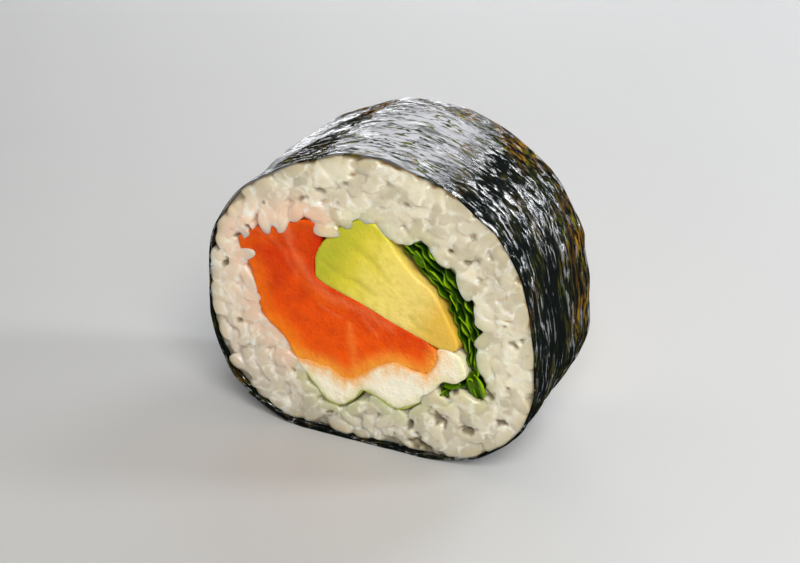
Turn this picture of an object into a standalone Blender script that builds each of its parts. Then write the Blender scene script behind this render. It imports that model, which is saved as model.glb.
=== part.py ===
# Futomaki: one thick slice of a big sushi roll, lying on its nori.
#
# Frame: the roll's axis runs along Y and the shown cut face looks to -Y.
# X runs across, Z up, and the origin is under the middle of the slice, at the
# height that it rests on. Sections are drawn in X and Z, in millimetres from
# the roll's centre, and become metres when they are built.

import math

import bmesh
import bpy
import numpy as np
from mathutils import Matrix, Vector

MM = 0.001

# The roll
ROLL_LENGTH = 26.9             # from cut face to cut face
FILLING_LENGTH = 26.6
ROLL_RADIUS = 30.5
CENTRE_HEIGHT = 26.5
OUTLINE_WAVES = {              # lobes: cosine and sine amounts of the squashed outline
    2: (1.75, 0.16),
    3: (-0.18, -1.19),
    4: (-0.88, -0.23),
    5: (-0.03, 0.23),
    6: (-0.28, -0.13),
}
MAT_SLATS = 18                 # flats that the bamboo mat leaves round the roll
MAT_PRESS = 0.45               # 0 leaves it round, 1 makes it a plain polygon
OUTLINE_STEPS = 72

# Clearances and the seaweed sheet
GAP = 0.3
NORI_THICKNESS = 0.38
LAP_GAP = 0.1                  # air between the two layers where the sheet laps
LAP_START = 262.0              # degrees, anticlockwise from +X
LAP_ANGLE = 40.0
LAP_SETTLE = 16.0              # degrees in which the sheet steps over its own edge
RINGS = 4                      # stations along each filling

# How the fillings wander between the shown face and the far one
WANDER_TURN = -9.0             # degrees
WANDER_SHIFT = (1.0, -0.7)
WANDER_REACH = 27.0            # radius at which the wandering has faded out
WANDER_SWAY = 0.45

# Rice
CORE_RECESS = 1.35             # the packed core lies this far behind the cut faces
FACE_RECESS = 0.06             # the proudest grains stop this far behind the cut
GRAIN_LENGTH = 5.6
GRAIN_WIDTH = 3.1
GRAIN_SIDES = 5
GRAIN_BANDS = 4
GRAINS_PER_FACE = 100
GRAIN_SPACING = 2.75
GRAIN_TILT = 22.0              # degrees out of the cut face, at most
GRAIN_SINK = 0.45              # how much deeper than the proudest a grain may lie
SCATTER_TRIES = 6000
DIRECTION_TRIES = 6
RICE_SEED = 7

# Fillings, as they lie in the shown face
SALMON = (
    (-24.6, 9.2), (-18.5, 12.4), (-11.2, 15.0), (-9.1, 12.9), (-10.5, 8.0), (-9.9, 4.2),
    (-3.0, 1.9), (4.4, -0.9), (10.8, -3.3), (12.8, -5.8), (10.5, -9.0), (5.0, -8.2),
    (0.8, -10.5), (-3.8, -13.9), (-7.5, -12.4), (-13.6, -12.1), (-16.0, -8.4),
    (-20.6, -4.0), (-22.2, 4.0),
)
AVOCADO = (
    (-9.8, 6.4), (-9.2, 10.2), (-6.0, 14.3), (-1.1, 17.5), (2.4, 16.5), (4.9, 12.7),
    (8.3, 9.2), (12.1, 6.3), (15.1, 1.0), (16.7, -2.6), (14.8, -3.6), (10.9, -2.7),
    (4.4, -0.4), (-3.0, 2.4), (-9.1, 4.6),
)
CREAM_CHEESE = (
    (-14.9, -12.7), (-13.6, -12.7), (-7.5, -13.0), (-3.8, -14.5), (0.9, -11.1), (5.0, -8.8),
    (10.9, -9.7), (13.4, -6.2), (13.4, -4.2), (15.2, -4.2), (17.3, -5.2), (17.8, -7.8),
    (16.3, -9.2), (14.1, -9.4), (12.6, -11.2), (9.6, -14.6), (7.0, -16.6), (4.7, -17.0),
    (2.2, -15.9), (-1.0, -14.9), (-2.7, -16.9), (-5.2, -19.0), (-7.6, -19.0), (-9.2, -17.4),
    (-12.0, -14.3),
)

# Lettuce: one leaf folded to and fro between two sides, then curled under
LEAF_THICKNESS = 0.5
LEAF_FOLDS = 4
LEAF_STATIONS = 4              # points from one of a side's knots to the next
LEAF_WAVES = 5
LEAF_WAVE_HEIGHT = 0.25
LEAF_STEP = 1.15
LETTUCE_INNER_SIDE = ((6.1, 13.5), (9.4, 10.2), (13.1, 7.2), (15.9, 2.4), (17.5, -2.0), (18.5, -6.2))
LETTUCE_OUTER_SIDE = ((9.9, 15.8), (13.1, 11.5), (17.0, 7.0), (19.3, 2.2), (20.4, -3.0), (21.3, -7.6))
LETTUCE_CURL = (
    (21.9, -10.2), (21.3, -12.3), (20.2, -12.4), (19.9, -10.6), (19.7, -8.8), (18.8, -8.7),
    (18.6, -10.4), (17.6, -11.0), (15.8, -10.4), (14.2, -10.9), (13.9, -12.6), (15.1, -13.8),
)
LETTUCE_POCKET = (
    (5.2, 14.5), (7.2, 16.1), (10.2, 17.0), (12.2, 14.5), (13.9, 12.1), (17.8, 7.5), (20.2, 2.5),
    (21.3, -2.9), (22.2, -7.5), (22.8, -10.6), (21.4, -13.2), (19.0, -13.1), (17.3, -11.6),
    (15.9, -11.5), (16.2, -14.5), (13.9, -14.1), (12.9, -12.2), (13.4, -10.4), (14.8, -9.4), (17.3, -9.4),
    (17.4, -6.4), (16.0, -2.0), (12.0, 5.6), (8.0, 9.0), (5.2, 12.4),
)

# The second leaf: a strip pressed against the cream cheese's underside
STRIP_THICKNESS = 0.55
STRIP_KNOTS = (15, 24)         # it runs from one knot of the cheese's outline to another

# How finely everything is drawn
SPAN_POINTS = 3                # points from one knot of an outline to the next
WELD = 0.01
SHARP_EDGE = 50.0              # degrees
NORMAL_REACH = 2.0             # degrees to either side, for the outline's direction
FOOTPRINT_RINGS = (0.5, 1.0)
FOOTPRINT_POINTS = 12


# Scene and materials

def clear_scene():
    for stale in list(bpy.data.objects):
        bpy.data.objects.remove(stale, do_unlink=True)


def new_collection(name):
    collection = bpy.data.collections.new(name)
    bpy.context.scene.collection.children.link(collection)
    return collection


def plain_material(name, color, roughness, metallic=0.0):
    material = bpy.data.materials.new(name)
    material.use_nodes = True
    surface = material.node_tree.nodes["Principled BSDF"]
    surface.inputs["Base Color"].default_value = (*color, 1.0)
    surface.inputs["Roughness"].default_value = roughness
    surface.inputs["Metallic"].default_value = metallic
    return material


# Lines in the section

def smooth_line(knots, closed, per_span=SPAN_POINTS):
    """Points of a Catmull-Rom line through the knots."""
    knots = np.array(knots, float)
    count = len(knots)
    spans = count if closed else count - 1
    points = []
    for i in range(spans):
        if closed:
            before, start, end, after = (knots[(i + k) % count] for k in (-1, 0, 1, 2))
        else:
            start, end = knots[i], knots[i + 1]
            before = knots[i - 1] if i > 0 else 2 * start - end
            after = knots[i + 2] if i + 2 < count else 2 * end - start
        for t in np.arange(per_span) / per_span:
            points.append(0.5 * (2 * start + (end - before) * t
                                 + (2 * before - 5 * start + 4 * end - after) * t ** 2
                                 + (3 * start - before - 3 * end + after) * t ** 3))
    if not closed:
        points.append(knots[-1])
    return np.array(points)


def even_line(points, step):
    """The same open line with its points an even step apart."""
    lengths = np.concatenate([[0.0], np.cumsum(np.linalg.norm(np.diff(points, axis=0), axis=1))])
    places = np.linspace(0.0, lengths[-1], max(2, round(lengths[-1] / step) + 1))
    return np.stack([np.interp(places, lengths, points[:, k]) for k in (0, 1)], axis=1)


def outward_normals(loop):
    """Unit normals of a closed line, pointing out of it."""
    along = np.roll(loop, -1, axis=0) - np.roll(loop, 1, axis=0)
    normals = np.stack([along[:, 1], -along[:, 0]], axis=1)
    normals /= np.linalg.norm(normals, axis=1)[:, None]
    area = 0.5 * np.sum(loop[:, 0] * np.roll(loop[:, 1], -1) - loop[:, 1] * np.roll(loop[:, 0], -1))
    return normals if area > 0 else -normals


def grown(loop, by):
    """A closed line moved out by a distance, or in where that is negative."""
    return loop + outward_normals(loop) * by


def polar_radius(angle):
    radius = ROLL_RADIUS
    for lobes, (cosine, sine) in OUTLINE_WAVES.items():
        radius += cosine * math.cos(lobes * angle) + sine * math.sin(lobes * angle)
    slat = 2 * math.pi / MAT_SLATS
    from_middle = (angle % slat) - slat / 2
    flat = math.cos(slat / 4) / math.cos(from_middle)
    return radius * (1 + MAT_PRESS * (flat - 1))


def roll_point(angle):
    """A point of the roll's outside, pressed flat underneath, at an angle in radians."""
    radius = polar_radius(angle)
    return radius * math.cos(angle), max(radius * math.sin(angle), -CENTRE_HEIGHT)


def roll_surface(angle, depth):
    """A point that lies the given depth inside the roll's outside."""
    x0, z0 = roll_point(angle - math.radians(NORMAL_REACH))
    x1, z1 = roll_point(angle + math.radians(NORMAL_REACH))
    inward = np.array([z0 - z1, x1 - x0])
    return np.array(roll_point(angle)) + inward / np.linalg.norm(inward) * depth


def eased(t):
    t = min(max(t, 0.0), 1.0)
    return t * t * (3 - 2 * t)


def lap_depth(turned):
    """How far under the outside the sheet lies, by degrees turned from its hidden edge."""
    return (NORI_THICKNESS + LAP_GAP) * (1 - eased((turned - LAP_ANGLE) / LAP_SETTLE))


# From sections to bodies

def wander(x, z, y):
    """Where a point of the shown face has moved to at a place along the roll."""
    along = y / ROLL_LENGTH + 0.5
    radius = math.hypot(x, z)
    fade = max(0.0, 1 - (radius / WANDER_REACH) ** 4)
    turn = math.radians(WANDER_TURN) * along * fade
    sway = WANDER_SWAY * math.sin(2 * math.pi * along) * fade
    moved_x = x * math.cos(turn) - z * math.sin(turn) + WANDER_SHIFT[0] * along * fade + sway
    moved_z = x * math.sin(turn) + z * math.cos(turn) + WANDER_SHIFT[1] * along * fade - sway
    return moved_x, moved_z


def wandered(line, y):
    return np.array([wander(x, z, y) for x, z in line])


def outline_middle():
    across = [roll_point(math.radians(angle))[0] for angle in range(360)]
    return (min(across) + max(across)) / 2


MIDDLE_X = outline_middle()


def placed(x, y, z):
    """A point of the roll in the part's frame, in metres."""
    return Vector(((x - MIDDLE_X) * MM, y * MM, (z + CENTRE_HEIGHT) * MM))


def finish_mesh(mesh, name, collection, material=None):
    """Makes an object of a mesh, shaded smooth but for its sharp edges."""
    mesh.shade_smooth()
    mesh.set_sharp_from_angle(angle=math.radians(SHARP_EDGE))
    body = bpy.data.objects.new(name, mesh)
    collection.objects.link(body)
    if material:
        mesh.materials.append(material)
    return body


def prism(name, loop, half_length, collection, material=None, rings=RINGS):
    """A closed section run along the roll: a filled 2D curve, cut into rings that wander along it.
    With only its two end rings it runs straight."""
    curve = bpy.data.curves.new(name, "CURVE")
    curve.dimensions = "2D"
    curve.fill_mode = "BOTH"
    curve.extrude = half_length
    spline = curve.splines.new("POLY")
    spline.points.add(len(loop) - 1)
    for point, (x, z) in zip(spline.points, loop):
        point.co = (x, z, 0.0, 1.0)
    spline.use_cyclic_u = True
    drawn = bpy.data.objects.new(name, curve)
    collection.objects.link(drawn)
    graph = bpy.context.evaluated_depsgraph_get()
    mesh = bpy.data.meshes.new_from_object(drawn.evaluated_get(graph))
    bpy.data.objects.remove(drawn, do_unlink=True)

    shape = bmesh.new()
    shape.from_mesh(mesh)
    bmesh.ops.remove_doubles(shape, verts=shape.verts, dist=WELD)
    bmesh.ops.rotate(shape, verts=shape.verts, matrix=Matrix.Rotation(math.radians(90), 3, "X"))
    for y in np.linspace(-half_length, half_length, rings)[1:-1]:
        everything = shape.verts[:] + shape.edges[:] + shape.faces[:]
        bmesh.ops.bisect_plane(shape, geom=everything, plane_co=(0, y, 0), plane_no=(0, 1, 0))
    for vert in shape.verts:
        x, y, z = vert.co
        if rings > 2:
            x, z = wander(x, z, y)
        vert.co = placed(x, y, z)
    bmesh.ops.recalc_face_normals(shape, faces=shape.faces)
    shape.to_mesh(mesh)
    shape.free()
    return finish_mesh(mesh, name, collection, material)


def sheet(name, line, half_length, thickness, offset, collection, material, rings=RINGS):
    """An open line run along the roll as a grid of triangles, given its thickness by Solidify."""
    shape = bmesh.new()
    rows = []
    for y in np.linspace(-half_length, half_length, rings):
        section = wandered(line, y) if rings > 2 else line
        rows.append([shape.verts.new(placed(x, y, z)) for x, z in section])
    for near, far in zip(rows, rows[1:]):
        for k in range(len(line) - 1):
            shape.faces.new((near[k], near[k + 1], far[k + 1], far[k]))
    bmesh.ops.triangulate(shape, faces=shape.faces)
    mesh = bpy.data.meshes.new(name)
    shape.to_mesh(mesh)
    shape.free()
    body = finish_mesh(mesh, name, collection, material)
    solidify = body.modifiers.new("thickness", "SOLIDIFY")
    solidify.thickness = thickness * MM
    solidify.offset = offset
    solidify.use_even_offset = True
    return body


# The seaweed sheet

def build_nori(collection):
    """The sheet, rolled once round and lapped over its own edge underneath."""
    turned = np.linspace(0.0, 360.0 + LAP_ANGLE, round((360 + LAP_ANGLE) / 360 * OUTLINE_STEPS) + 1)
    line = [roll_surface(math.radians(LAP_START - turn), lap_depth(turn)) for turn in turned]
    material = plain_material("nori", (0.012, 0.016, 0.012), 0.35)
    return sheet("nori", line, ROLL_LENGTH / 2, NORI_THICKNESS, -1.0, collection, material, rings=2)


# The fillings

def build_filling(name, knots, color, roughness, collection):
    material = plain_material(name, color, roughness)
    return prism(name, smooth_line(knots, True), FILLING_LENGTH / 2, collection, material)


def folded_leaf_line():
    """The lettuce's section: to and fro between its two sides, then the curl underneath."""
    inner = smooth_line(LETTUCE_INNER_SIDE, False, LEAF_STATIONS)
    outer = smooth_line(LETTUCE_OUTER_SIDE, False, LEAF_STATIONS)
    across = (outer - inner) / np.linalg.norm(outer - inner, axis=1)[:, None]
    phase = np.linspace(0.0, 2 * math.pi * LEAF_WAVES, len(inner))
    wave = across * (LEAF_WAVE_HEIGHT * np.sin(phase))[:, None]
    line = []
    for fold in range(LEAF_FOLDS):
        share = fold / (LEAF_FOLDS - 1)
        layer = inner * (1 - share) + outer * share + wave
        line.extend(layer if fold % 2 else layer[::-1])
    return even_line(smooth_line(np.vstack([line, LETTUCE_CURL]), False), LEAF_STEP)


def build_lettuce(collection):
    material = plain_material("lettuce", (0.10, 0.30, 0.02), 0.4)
    return sheet("lettuce", folded_leaf_line(), FILLING_LENGTH / 2, LEAF_THICKNESS, 0.0, collection, material)


def strip_line():
    """The strip's section, along the underside of the cream cheese."""
    under = grown(smooth_line(CREAM_CHEESE, True), GAP + STRIP_THICKNESS / 2)
    first, last = STRIP_KNOTS
    return under[first * SPAN_POINTS:last * SPAN_POINTS + 1]


def build_lettuce_strip(collection):
    material = plain_material("lettuce_strip", (0.42, 0.45, 0.12), 0.4)
    return sheet("lettuce_strip", strip_line(), FILLING_LENGTH / 2, STRIP_THICKNESS, 0.0, collection, material)


# The rice

def rice_edge():
    """The rice's outer line, clear of the nori and of its lapped inner layer."""
    edge = []
    for angle in np.linspace(0.0, 360.0, OUTLINE_STEPS, endpoint=False):
        turned = (LAP_START - angle) % 360
        depth = NORI_THICKNESS + GAP + lap_depth(turned)
        depth += lap_depth(0.0) * eased((turned - 360 + LAP_SETTLE) / LAP_SETTLE)
        edge.append(roll_surface(math.radians(angle), depth))
    return np.array(edge)


def ribbon_outline(line, thickness):
    """A closed line round an open one, with flat ends."""
    along = np.gradient(line, axis=0)
    along /= np.linalg.norm(along, axis=1)[:, None]
    side = np.stack([along[:, 1], -along[:, 0]], axis=1) * thickness / 2
    ends = along * thickness / 2
    line = line.copy()
    line[0] -= ends[0]
    line[-1] += ends[-1]
    return np.vstack([line + side, (line - side)[::-1]])


def channel_outlines():
    """The closed lines of the room that each filling takes in the rice."""
    lines = [grown(smooth_line(knots, True), GAP) for knots in (SALMON, AVOCADO, CREAM_CHEESE)]
    lines.append(smooth_line(LETTUCE_POCKET, True))
    lines.append(ribbon_outline(strip_line(), STRIP_THICKNESS + 2 * GAP))
    return lines


def distances(points, loop):
    """Distance from each point to a closed line, negative inside it."""
    start = loop[None, :, :]
    along = np.roll(loop, -1, axis=0)[None, :, :] - start
    from_start = points[:, None, :] - start
    share = np.clip((from_start * along).sum(2) / (along ** 2).sum(2), 0.0, 1.0)
    nearest = np.linalg.norm(from_start - along * share[:, :, None], axis=2).min(axis=1)
    x, z = points[:, 0:1], points[:, 1:2]
    x0, z0 = loop[None, :, 0], loop[None, :, 1]
    x1, z1 = np.roll(x0, -1, axis=1), np.roll(z0, -1, axis=1)
    crosses = (z0 > z) != (z1 > z)
    rise = np.where(z1 == z0, 1.0, z1 - z0)
    left = x < (x1 - x0) * (z - z0) / rise + x0
    inside = (crosses & left).sum(axis=1) % 2 == 1
    return np.where(inside, -nearest, nearest)


def footprint(x, z, turn):
    """Points over the area that a grain covers in the section."""
    points = [(x, z)]
    for ring in FOOTPRINT_RINGS:
        for angle in np.linspace(0.0, 2 * math.pi, FOOTPRINT_POINTS, endpoint=False):
            along = ring * GRAIN_LENGTH / 2 * math.cos(angle)
            across = ring * GRAIN_WIDTH / 2 * math.sin(angle)
            points.append((x + along * math.cos(turn) - across * math.sin(turn),
                           z + along * math.sin(turn) + across * math.cos(turn)))
    return np.array(points)


def scatter_grains(edge, channels, chance):
    """Places and directions of the grains in one face, spread evenly clear of everything."""
    places = chance.uniform(edge.min(axis=0), edge.max(axis=0), size=(SCATTER_TRIES, 2))
    room = np.minimum.reduce([-distances(places, edge)] + [distances(places, line) for line in channels])
    grains = []
    for x, z in places[room > GRAIN_WIDTH / 2]:
        if any(math.hypot(x - gx, z - gz) < GRAIN_SPACING for gx, gz, _ in grains):
            continue
        for turn in chance.uniform(0.0, math.pi, DIRECTION_TRIES):
            area = footprint(x, z, turn)
            if distances(area, edge).max() < 0 and min(distances(area, line).min() for line in channels) > 0:
                grains.append((x, z, turn))
                break
        if len(grains) == GRAINS_PER_FACE:
            break
    return grains


def build_grain(x, z, turn, side, chance, collection):
    """One grain of few sides, lying in a cut face with its crown near the cut."""
    length = GRAIN_LENGTH * chance.uniform(0.9, 1.08)
    width = GRAIN_WIDTH * chance.uniform(0.9, 1.05)
    tilt = math.radians(chance.uniform(-GRAIN_TILT, GRAIN_TILT))
    crown = math.hypot(length / 2 * math.sin(tilt), width / 2 * math.cos(tilt))
    y = side * (ROLL_LENGTH / 2 - FACE_RECESS - chance.uniform(0.0, GRAIN_SINK) - crown)
    shape = bmesh.new()
    bmesh.ops.create_uvsphere(shape, u_segments=GRAIN_SIDES, v_segments=GRAIN_BANDS, radius=0.5)
    pose = (Matrix.Translation(placed(x, y, z))
            @ Matrix.Rotation(-turn, 4, "Y")
            @ Matrix.Rotation(tilt, 4, "Z")
            @ Matrix.Rotation(math.radians(90), 4, "Y")
            @ Matrix.Rotation(chance.uniform(0, 2 * math.pi), 4, "Z")
            @ Matrix.Diagonal((width * MM, width * MM, length * MM, 1.0)))
    bmesh.ops.transform(shape, matrix=pose, verts=shape.verts)
    mesh = bpy.data.meshes.new("grain")
    shape.to_mesh(mesh)
    shape.free()
    grain = bpy.data.objects.new("grain", mesh)
    collection.objects.link(grain)


def cut_or_join(body, operation, solver, collection):
    """Applies one Boolean with a whole collection, then removes the collection's objects."""
    boolean = body.modifiers.new(operation, "BOOLEAN")
    boolean.operation = operation
    boolean.solver = solver
    boolean.operand_type = "COLLECTION"
    boolean.collection = collection
    graph = bpy.context.evaluated_depsgraph_get()
    mesh = bpy.data.meshes.new_from_object(body.evaluated_get(graph))
    body.modifiers.clear()
    body.data = mesh
    for tool in list(collection.objects):
        bpy.data.objects.remove(tool, do_unlink=True)


def keep_largest(mesh):
    """Drops loose scraps and fills sealed hollows, by keeping the largest closed surface alone."""
    shape = bmesh.new()
    shape.from_mesh(mesh)
    bmesh.ops.triangulate(shape, faces=shape.faces)
    unseen = set(shape.verts)
    islands = []
    while unseen:
        island, reached = [], [unseen.pop()]
        while reached:
            vert = reached.pop()
            island.append(vert)
            for edge in vert.link_edges:
                other = edge.other_vert(vert)
                if other in unseen:
                    unseen.discard(other)
                    reached.append(other)
        islands.append(island)
    islands.sort(key=len)
    for scrap in islands[:-1]:
        bmesh.ops.delete(shape, geom=scrap, context="VERTS")
    shape.to_mesh(mesh)
    shape.free()


def build_rice(collection, cutters):
    """Packed rice round the fillings, with grains fused on where the cuts show them."""
    material = plain_material("rice", (0.72, 0.68, 0.56), 0.4)
    edge = rice_edge()
    channels = channel_outlines()
    rice = prism("rice", edge, ROLL_LENGTH / 2 - CORE_RECESS, collection, material, rings=2)
    for number, line in enumerate(channels):
        prism(f"channel_{number}", line, ROLL_LENGTH / 2 + CORE_RECESS, cutters)
    cut_or_join(rice, "DIFFERENCE", "EXACT", cutters)

    chance = np.random.default_rng(RICE_SEED)
    for side in (-1, 1):
        y = side * ROLL_LENGTH / 2
        for x, z, turn in scatter_grains(edge, [wandered(line, y) for line in channels], chance):
            build_grain(x, z, turn, side, chance, cutters)
    cut_or_join(rice, "UNION", "MANIFOLD", cutters)
    keep_largest(rice.data)
    rice.data.shade_smooth()
    rice.data.set_sharp_from_angle(angle=math.radians(SHARP_EDGE))


clear_scene()
futomaki = new_collection("futomaki")
cutters = new_collection("cutters")
build_nori(futomaki)
build_rice(futomaki, cutters)
build_filling("salmon", SALMON, (0.72, 0.07, 0.006), 0.35, futomaki)
build_filling("avocado", AVOCADO, (0.62, 0.52, 0.08), 0.45, futomaki)
build_filling("cream_cheese", CREAM_CHEESE, (0.87, 0.76, 0.58), 0.5, futomaki)
build_lettuce(futomaki)
build_lettuce_strip(futomaki)
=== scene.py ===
# %% [markdown]
# # A slice of futomaki
#
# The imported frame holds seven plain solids: a seaweed sheet, the rice, and five fillings that run
# through it. This lesson dresses each of them: it builds a finer mesh of the same form, gives it a
# finish made of shader nodes, and hides the plain solid behind it. The frame comes first, because
# every size and place below is measured on it.

# %% Load the frame
import math

import bmesh
import bpy
import numpy as np
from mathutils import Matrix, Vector, noise
from mathutils.bvhtree import BVHTree
from mathutils.kdtree import KDTree


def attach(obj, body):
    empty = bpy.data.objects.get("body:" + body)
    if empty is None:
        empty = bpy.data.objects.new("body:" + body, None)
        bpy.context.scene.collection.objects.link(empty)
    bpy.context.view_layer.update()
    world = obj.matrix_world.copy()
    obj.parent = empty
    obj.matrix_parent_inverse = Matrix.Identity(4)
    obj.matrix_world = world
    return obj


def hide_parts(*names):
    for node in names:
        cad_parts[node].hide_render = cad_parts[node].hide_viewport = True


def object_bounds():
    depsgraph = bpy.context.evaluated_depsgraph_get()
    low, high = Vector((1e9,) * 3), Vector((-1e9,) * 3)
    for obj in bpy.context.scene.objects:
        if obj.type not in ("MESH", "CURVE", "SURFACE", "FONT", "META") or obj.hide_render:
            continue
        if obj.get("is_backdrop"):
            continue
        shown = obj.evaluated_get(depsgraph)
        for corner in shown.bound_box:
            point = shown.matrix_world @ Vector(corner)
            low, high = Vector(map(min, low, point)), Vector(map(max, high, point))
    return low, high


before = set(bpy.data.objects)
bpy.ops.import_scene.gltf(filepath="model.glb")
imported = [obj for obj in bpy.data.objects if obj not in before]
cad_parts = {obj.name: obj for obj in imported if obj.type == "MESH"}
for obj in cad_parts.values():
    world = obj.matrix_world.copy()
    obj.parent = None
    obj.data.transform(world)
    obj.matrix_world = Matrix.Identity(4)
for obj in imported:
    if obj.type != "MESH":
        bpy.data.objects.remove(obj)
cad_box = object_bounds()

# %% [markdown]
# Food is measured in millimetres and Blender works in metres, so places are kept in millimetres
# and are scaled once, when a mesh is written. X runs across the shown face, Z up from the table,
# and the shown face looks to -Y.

MM = 0.001
lowest, highest = (np.array(corner) / MM for corner in cad_box)
CUT = highest[1]               # each cut face lies this far from the middle of the roll
ROLL_MIDDLE = np.array([0.1, 0.0, 26.5])
chance = np.random.default_rng(11)
print("the roll is", np.round(highest - lowest, 1), "mm")

# %% [markdown]
# The frame's solids are read in two ways. A welded copy gives a mesh to work on, because the packed
# file splits corners where the shading breaks. A search tree answers how far a point is from a
# solid's skin, and on which side, so that rice can crowd round the fillings without filling them.

# %% Read the frame
WELD = 0.0001                  # millimetres within which split corners are one
RAY_STEP = 0.01                # millimetres behind a hit where its ray goes on
TEST_HEADINGS = (Vector((0.31, 0.02, 0.95)).normalized(), Vector((-0.83, 0.03, -0.55)).normalized())


def opened(mesh):
    """A bmesh of a mesh."""
    shape = bmesh.new()
    shape.from_mesh(mesh)
    return shape


def welded(node):
    """A frame node as a bmesh with its split corners joined."""
    shape = opened(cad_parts[node].data)
    bmesh.ops.remove_doubles(shape, verts=shape.verts, dist=WELD * MM)
    return shape


walls = {node: BVHTree.FromBMesh(welded(node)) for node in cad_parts}


def gap(places, node):
    """How far each place is from a node's skin, in millimetres."""
    return np.array([walls[node].find_nearest(Vector(place) * MM)[3] for place in places]) / MM


def crossings(place, heading, node):
    """Where a ray from a place goes through a node's skin, in metres."""
    hits = []
    hit = walls[node].ray_cast(Vector(place) * MM, heading)[0]
    while hit is not None:
        hits.append(hit)
        hit = walls[node].ray_cast(hit + heading * RAY_STEP * MM, heading)[0]
    return hits


def inside(place, node):
    """Whether rays from a place leave the node's skin an odd number of times, both ways."""
    return all(len(crossings(place, heading, node)) % 2 for heading in TEST_HEADINGS)


def through_sheet(angle):
    """Where a ray from the roll's middle, at an angle from +X, goes through the seaweed's skin."""
    return crossings(ROLL_MIDDLE, Vector((math.cos(angle), 0.0, math.sin(angle))), "nori")


hub = Vector(ROLL_MIDDLE) * MM
round_angles = np.radians(np.arange(-180, 181))
round_radii = np.array([(through_sheet(angle)[0] - hub).length / MM for angle in round_angles])
print("the rice is", np.round((round_radii.min(), round_radii.max()), 1), "mm in radius")


def room_in_roll(x, z):
    """How far places are inside the seaweed."""
    right = x - ROLL_MIDDLE[0]
    above = z - ROLL_MIDDLE[2]
    return np.interp(np.arctan2(above, right), round_angles, round_radii) - np.hypot(right, above)

# %% [markdown]
# Meshes are made and changed as NumPy arrays. These helpers write an array as a mesh, read it back,
# keep numbers on the vertices for a finish to use, and smooth a skin by moving each point towards
# the middle of its neighbours.

# %% Mesh helpers
def add_object(name, data):
    made = bpy.data.objects.new(name, data)
    bpy.context.scene.collection.objects.link(made)
    return made


def written(shape, name):
    """A mesh of a bmesh, which is freed."""
    mesh = bpy.data.meshes.new(name)
    shape.to_mesh(mesh)
    shape.free()
    return mesh


def mesh_of(name, places, faces):
    mesh = bpy.data.meshes.new(name)
    mesh.from_pydata((places * MM).tolist(), [], faces.tolist())
    return mesh


def read(items, field, width, kind=float):
    """One field of a mesh's items, as rows of a width."""
    values = np.empty(len(items) * width, dtype=kind)
    items.foreach_get(field, values)
    return values.reshape(-1, width)


def read_places(mesh):
    return read(mesh.vertices, "co", 3) / MM


def read_normals(mesh):
    return read(mesh.vertices, "normal", 3)


def read_edges(mesh):
    return read(mesh.edges, "vertices", 2, int)


def write_places(mesh, places):
    mesh.vertices.foreach_set("co", (places * MM).ravel())
    mesh.update()


def mark(mesh, **marks):
    """Keeps numbers on the vertices, which a finish reads by their names."""
    for name, values in marks.items():
        attribute = mesh.attributes.new(name, "FLOAT", "POINT")
        attribute.data.foreach_set("value", np.asarray(values, dtype=np.float32))


def neighbour_mean(values, edges):
    """The mean of each vertex's neighbours, for an array of numbers or of places."""
    columns = values.reshape(len(values), -1)
    count = np.bincount(edges.ravel(), minlength=len(values))
    means = []
    for column in columns.T:
        total = np.bincount(edges[:, 0], weights=column[edges[:, 1]], minlength=len(values))
        total += np.bincount(edges[:, 1], weights=column[edges[:, 0]], minlength=len(values))
        means.append(total / np.maximum(count, 1))
    return np.array(means).T.reshape(values.shape)


def smoothed(values, edges, passes, share=0.5):
    for _ in range(passes):
        values = values + share * (neighbour_mean(values, edges) - values)
    return values


def lumps(places, size, seed):
    """Soft noise from about -1 to 1, with bumps of a size in millimetres."""
    shift = Vector((3.7, 9.1, 5.3)) * seed
    return np.array([noise.noise(Vector(place) / size + shift) for place in places])


def rough(*spot):
    """The same noise at one spot of its own space."""
    return noise.noise(Vector(spot))


def eased(value, start, end):
    """0 before start, 1 after end, and smooth between."""
    share = np.clip((value - start) / (end - start), 0.0, 1.0)
    return share * share * (3 - 2 * share)


def turned_by(right, above, angle):
    """Places turned anticlockwise round the origin."""
    return right * np.cos(angle) - above * np.sin(angle), right * np.sin(angle) + above * np.cos(angle)


# %% [markdown]
# A voxel remesh turns any closed shape, or a crowd of closed shapes that overlap, into one even
# skin. It suits food: a cut block of fish gets enough points to be softened and dented, and grains
# of rice that are pressed together melt into each other as sticky rice does.

# %% Voxel skin
def evaluated(piece):
    """A mesh of what a piece's modifiers make of it."""
    graph = bpy.context.evaluated_depsgraph_get()
    return bpy.data.meshes.new_from_object(piece.evaluated_get(graph))


def even_skin(name, mesh, voxel):
    """An object whose mesh is one closed skin of squares of about the voxel's size."""
    piece = add_object(name, mesh)
    skin = piece.modifiers.new("skin", "REMESH")
    skin.mode = "VOXEL"
    skin.voxel_size = voxel * MM
    made = evaluated(piece)
    piece.modifiers.clear()
    piece.data = made
    made.name = name
    return piece


# %% [markdown]
# Finishes are node trees, and sums of nodes read badly as links. So a Wire holds one socket and
# takes +, -, * and /, each of which adds a Math node. A Finish adds any other node through one
# method, which takes the node's type, its settings, and the values or wires of its sockets.

# %% Shader maths
def maths(operation, swapped=False):
    """An operator that adds a Math node."""
    def apply(wire, other):
        first, second = (other, wire) if swapped else (wire, other)
        return wire.finish.node("ShaderNodeMath", {"operation": operation}, {0: first, 1: second})
    return apply


class Wire:
    """A node's output, on which maths can be written as on a number."""

    def __init__(self, finish, socket):
        self.finish = finish
        self.socket = socket

    __add__ = maths("ADD")
    __radd__ = maths("ADD", swapped=True)
    __sub__ = maths("SUBTRACT")
    __rsub__ = maths("SUBTRACT", swapped=True)
    __mul__ = maths("MULTIPLY")
    __rmul__ = maths("MULTIPLY", swapped=True)
    __truediv__ = maths("DIVIDE")
    __rtruediv__ = maths("DIVIDE", swapped=True)


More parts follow.
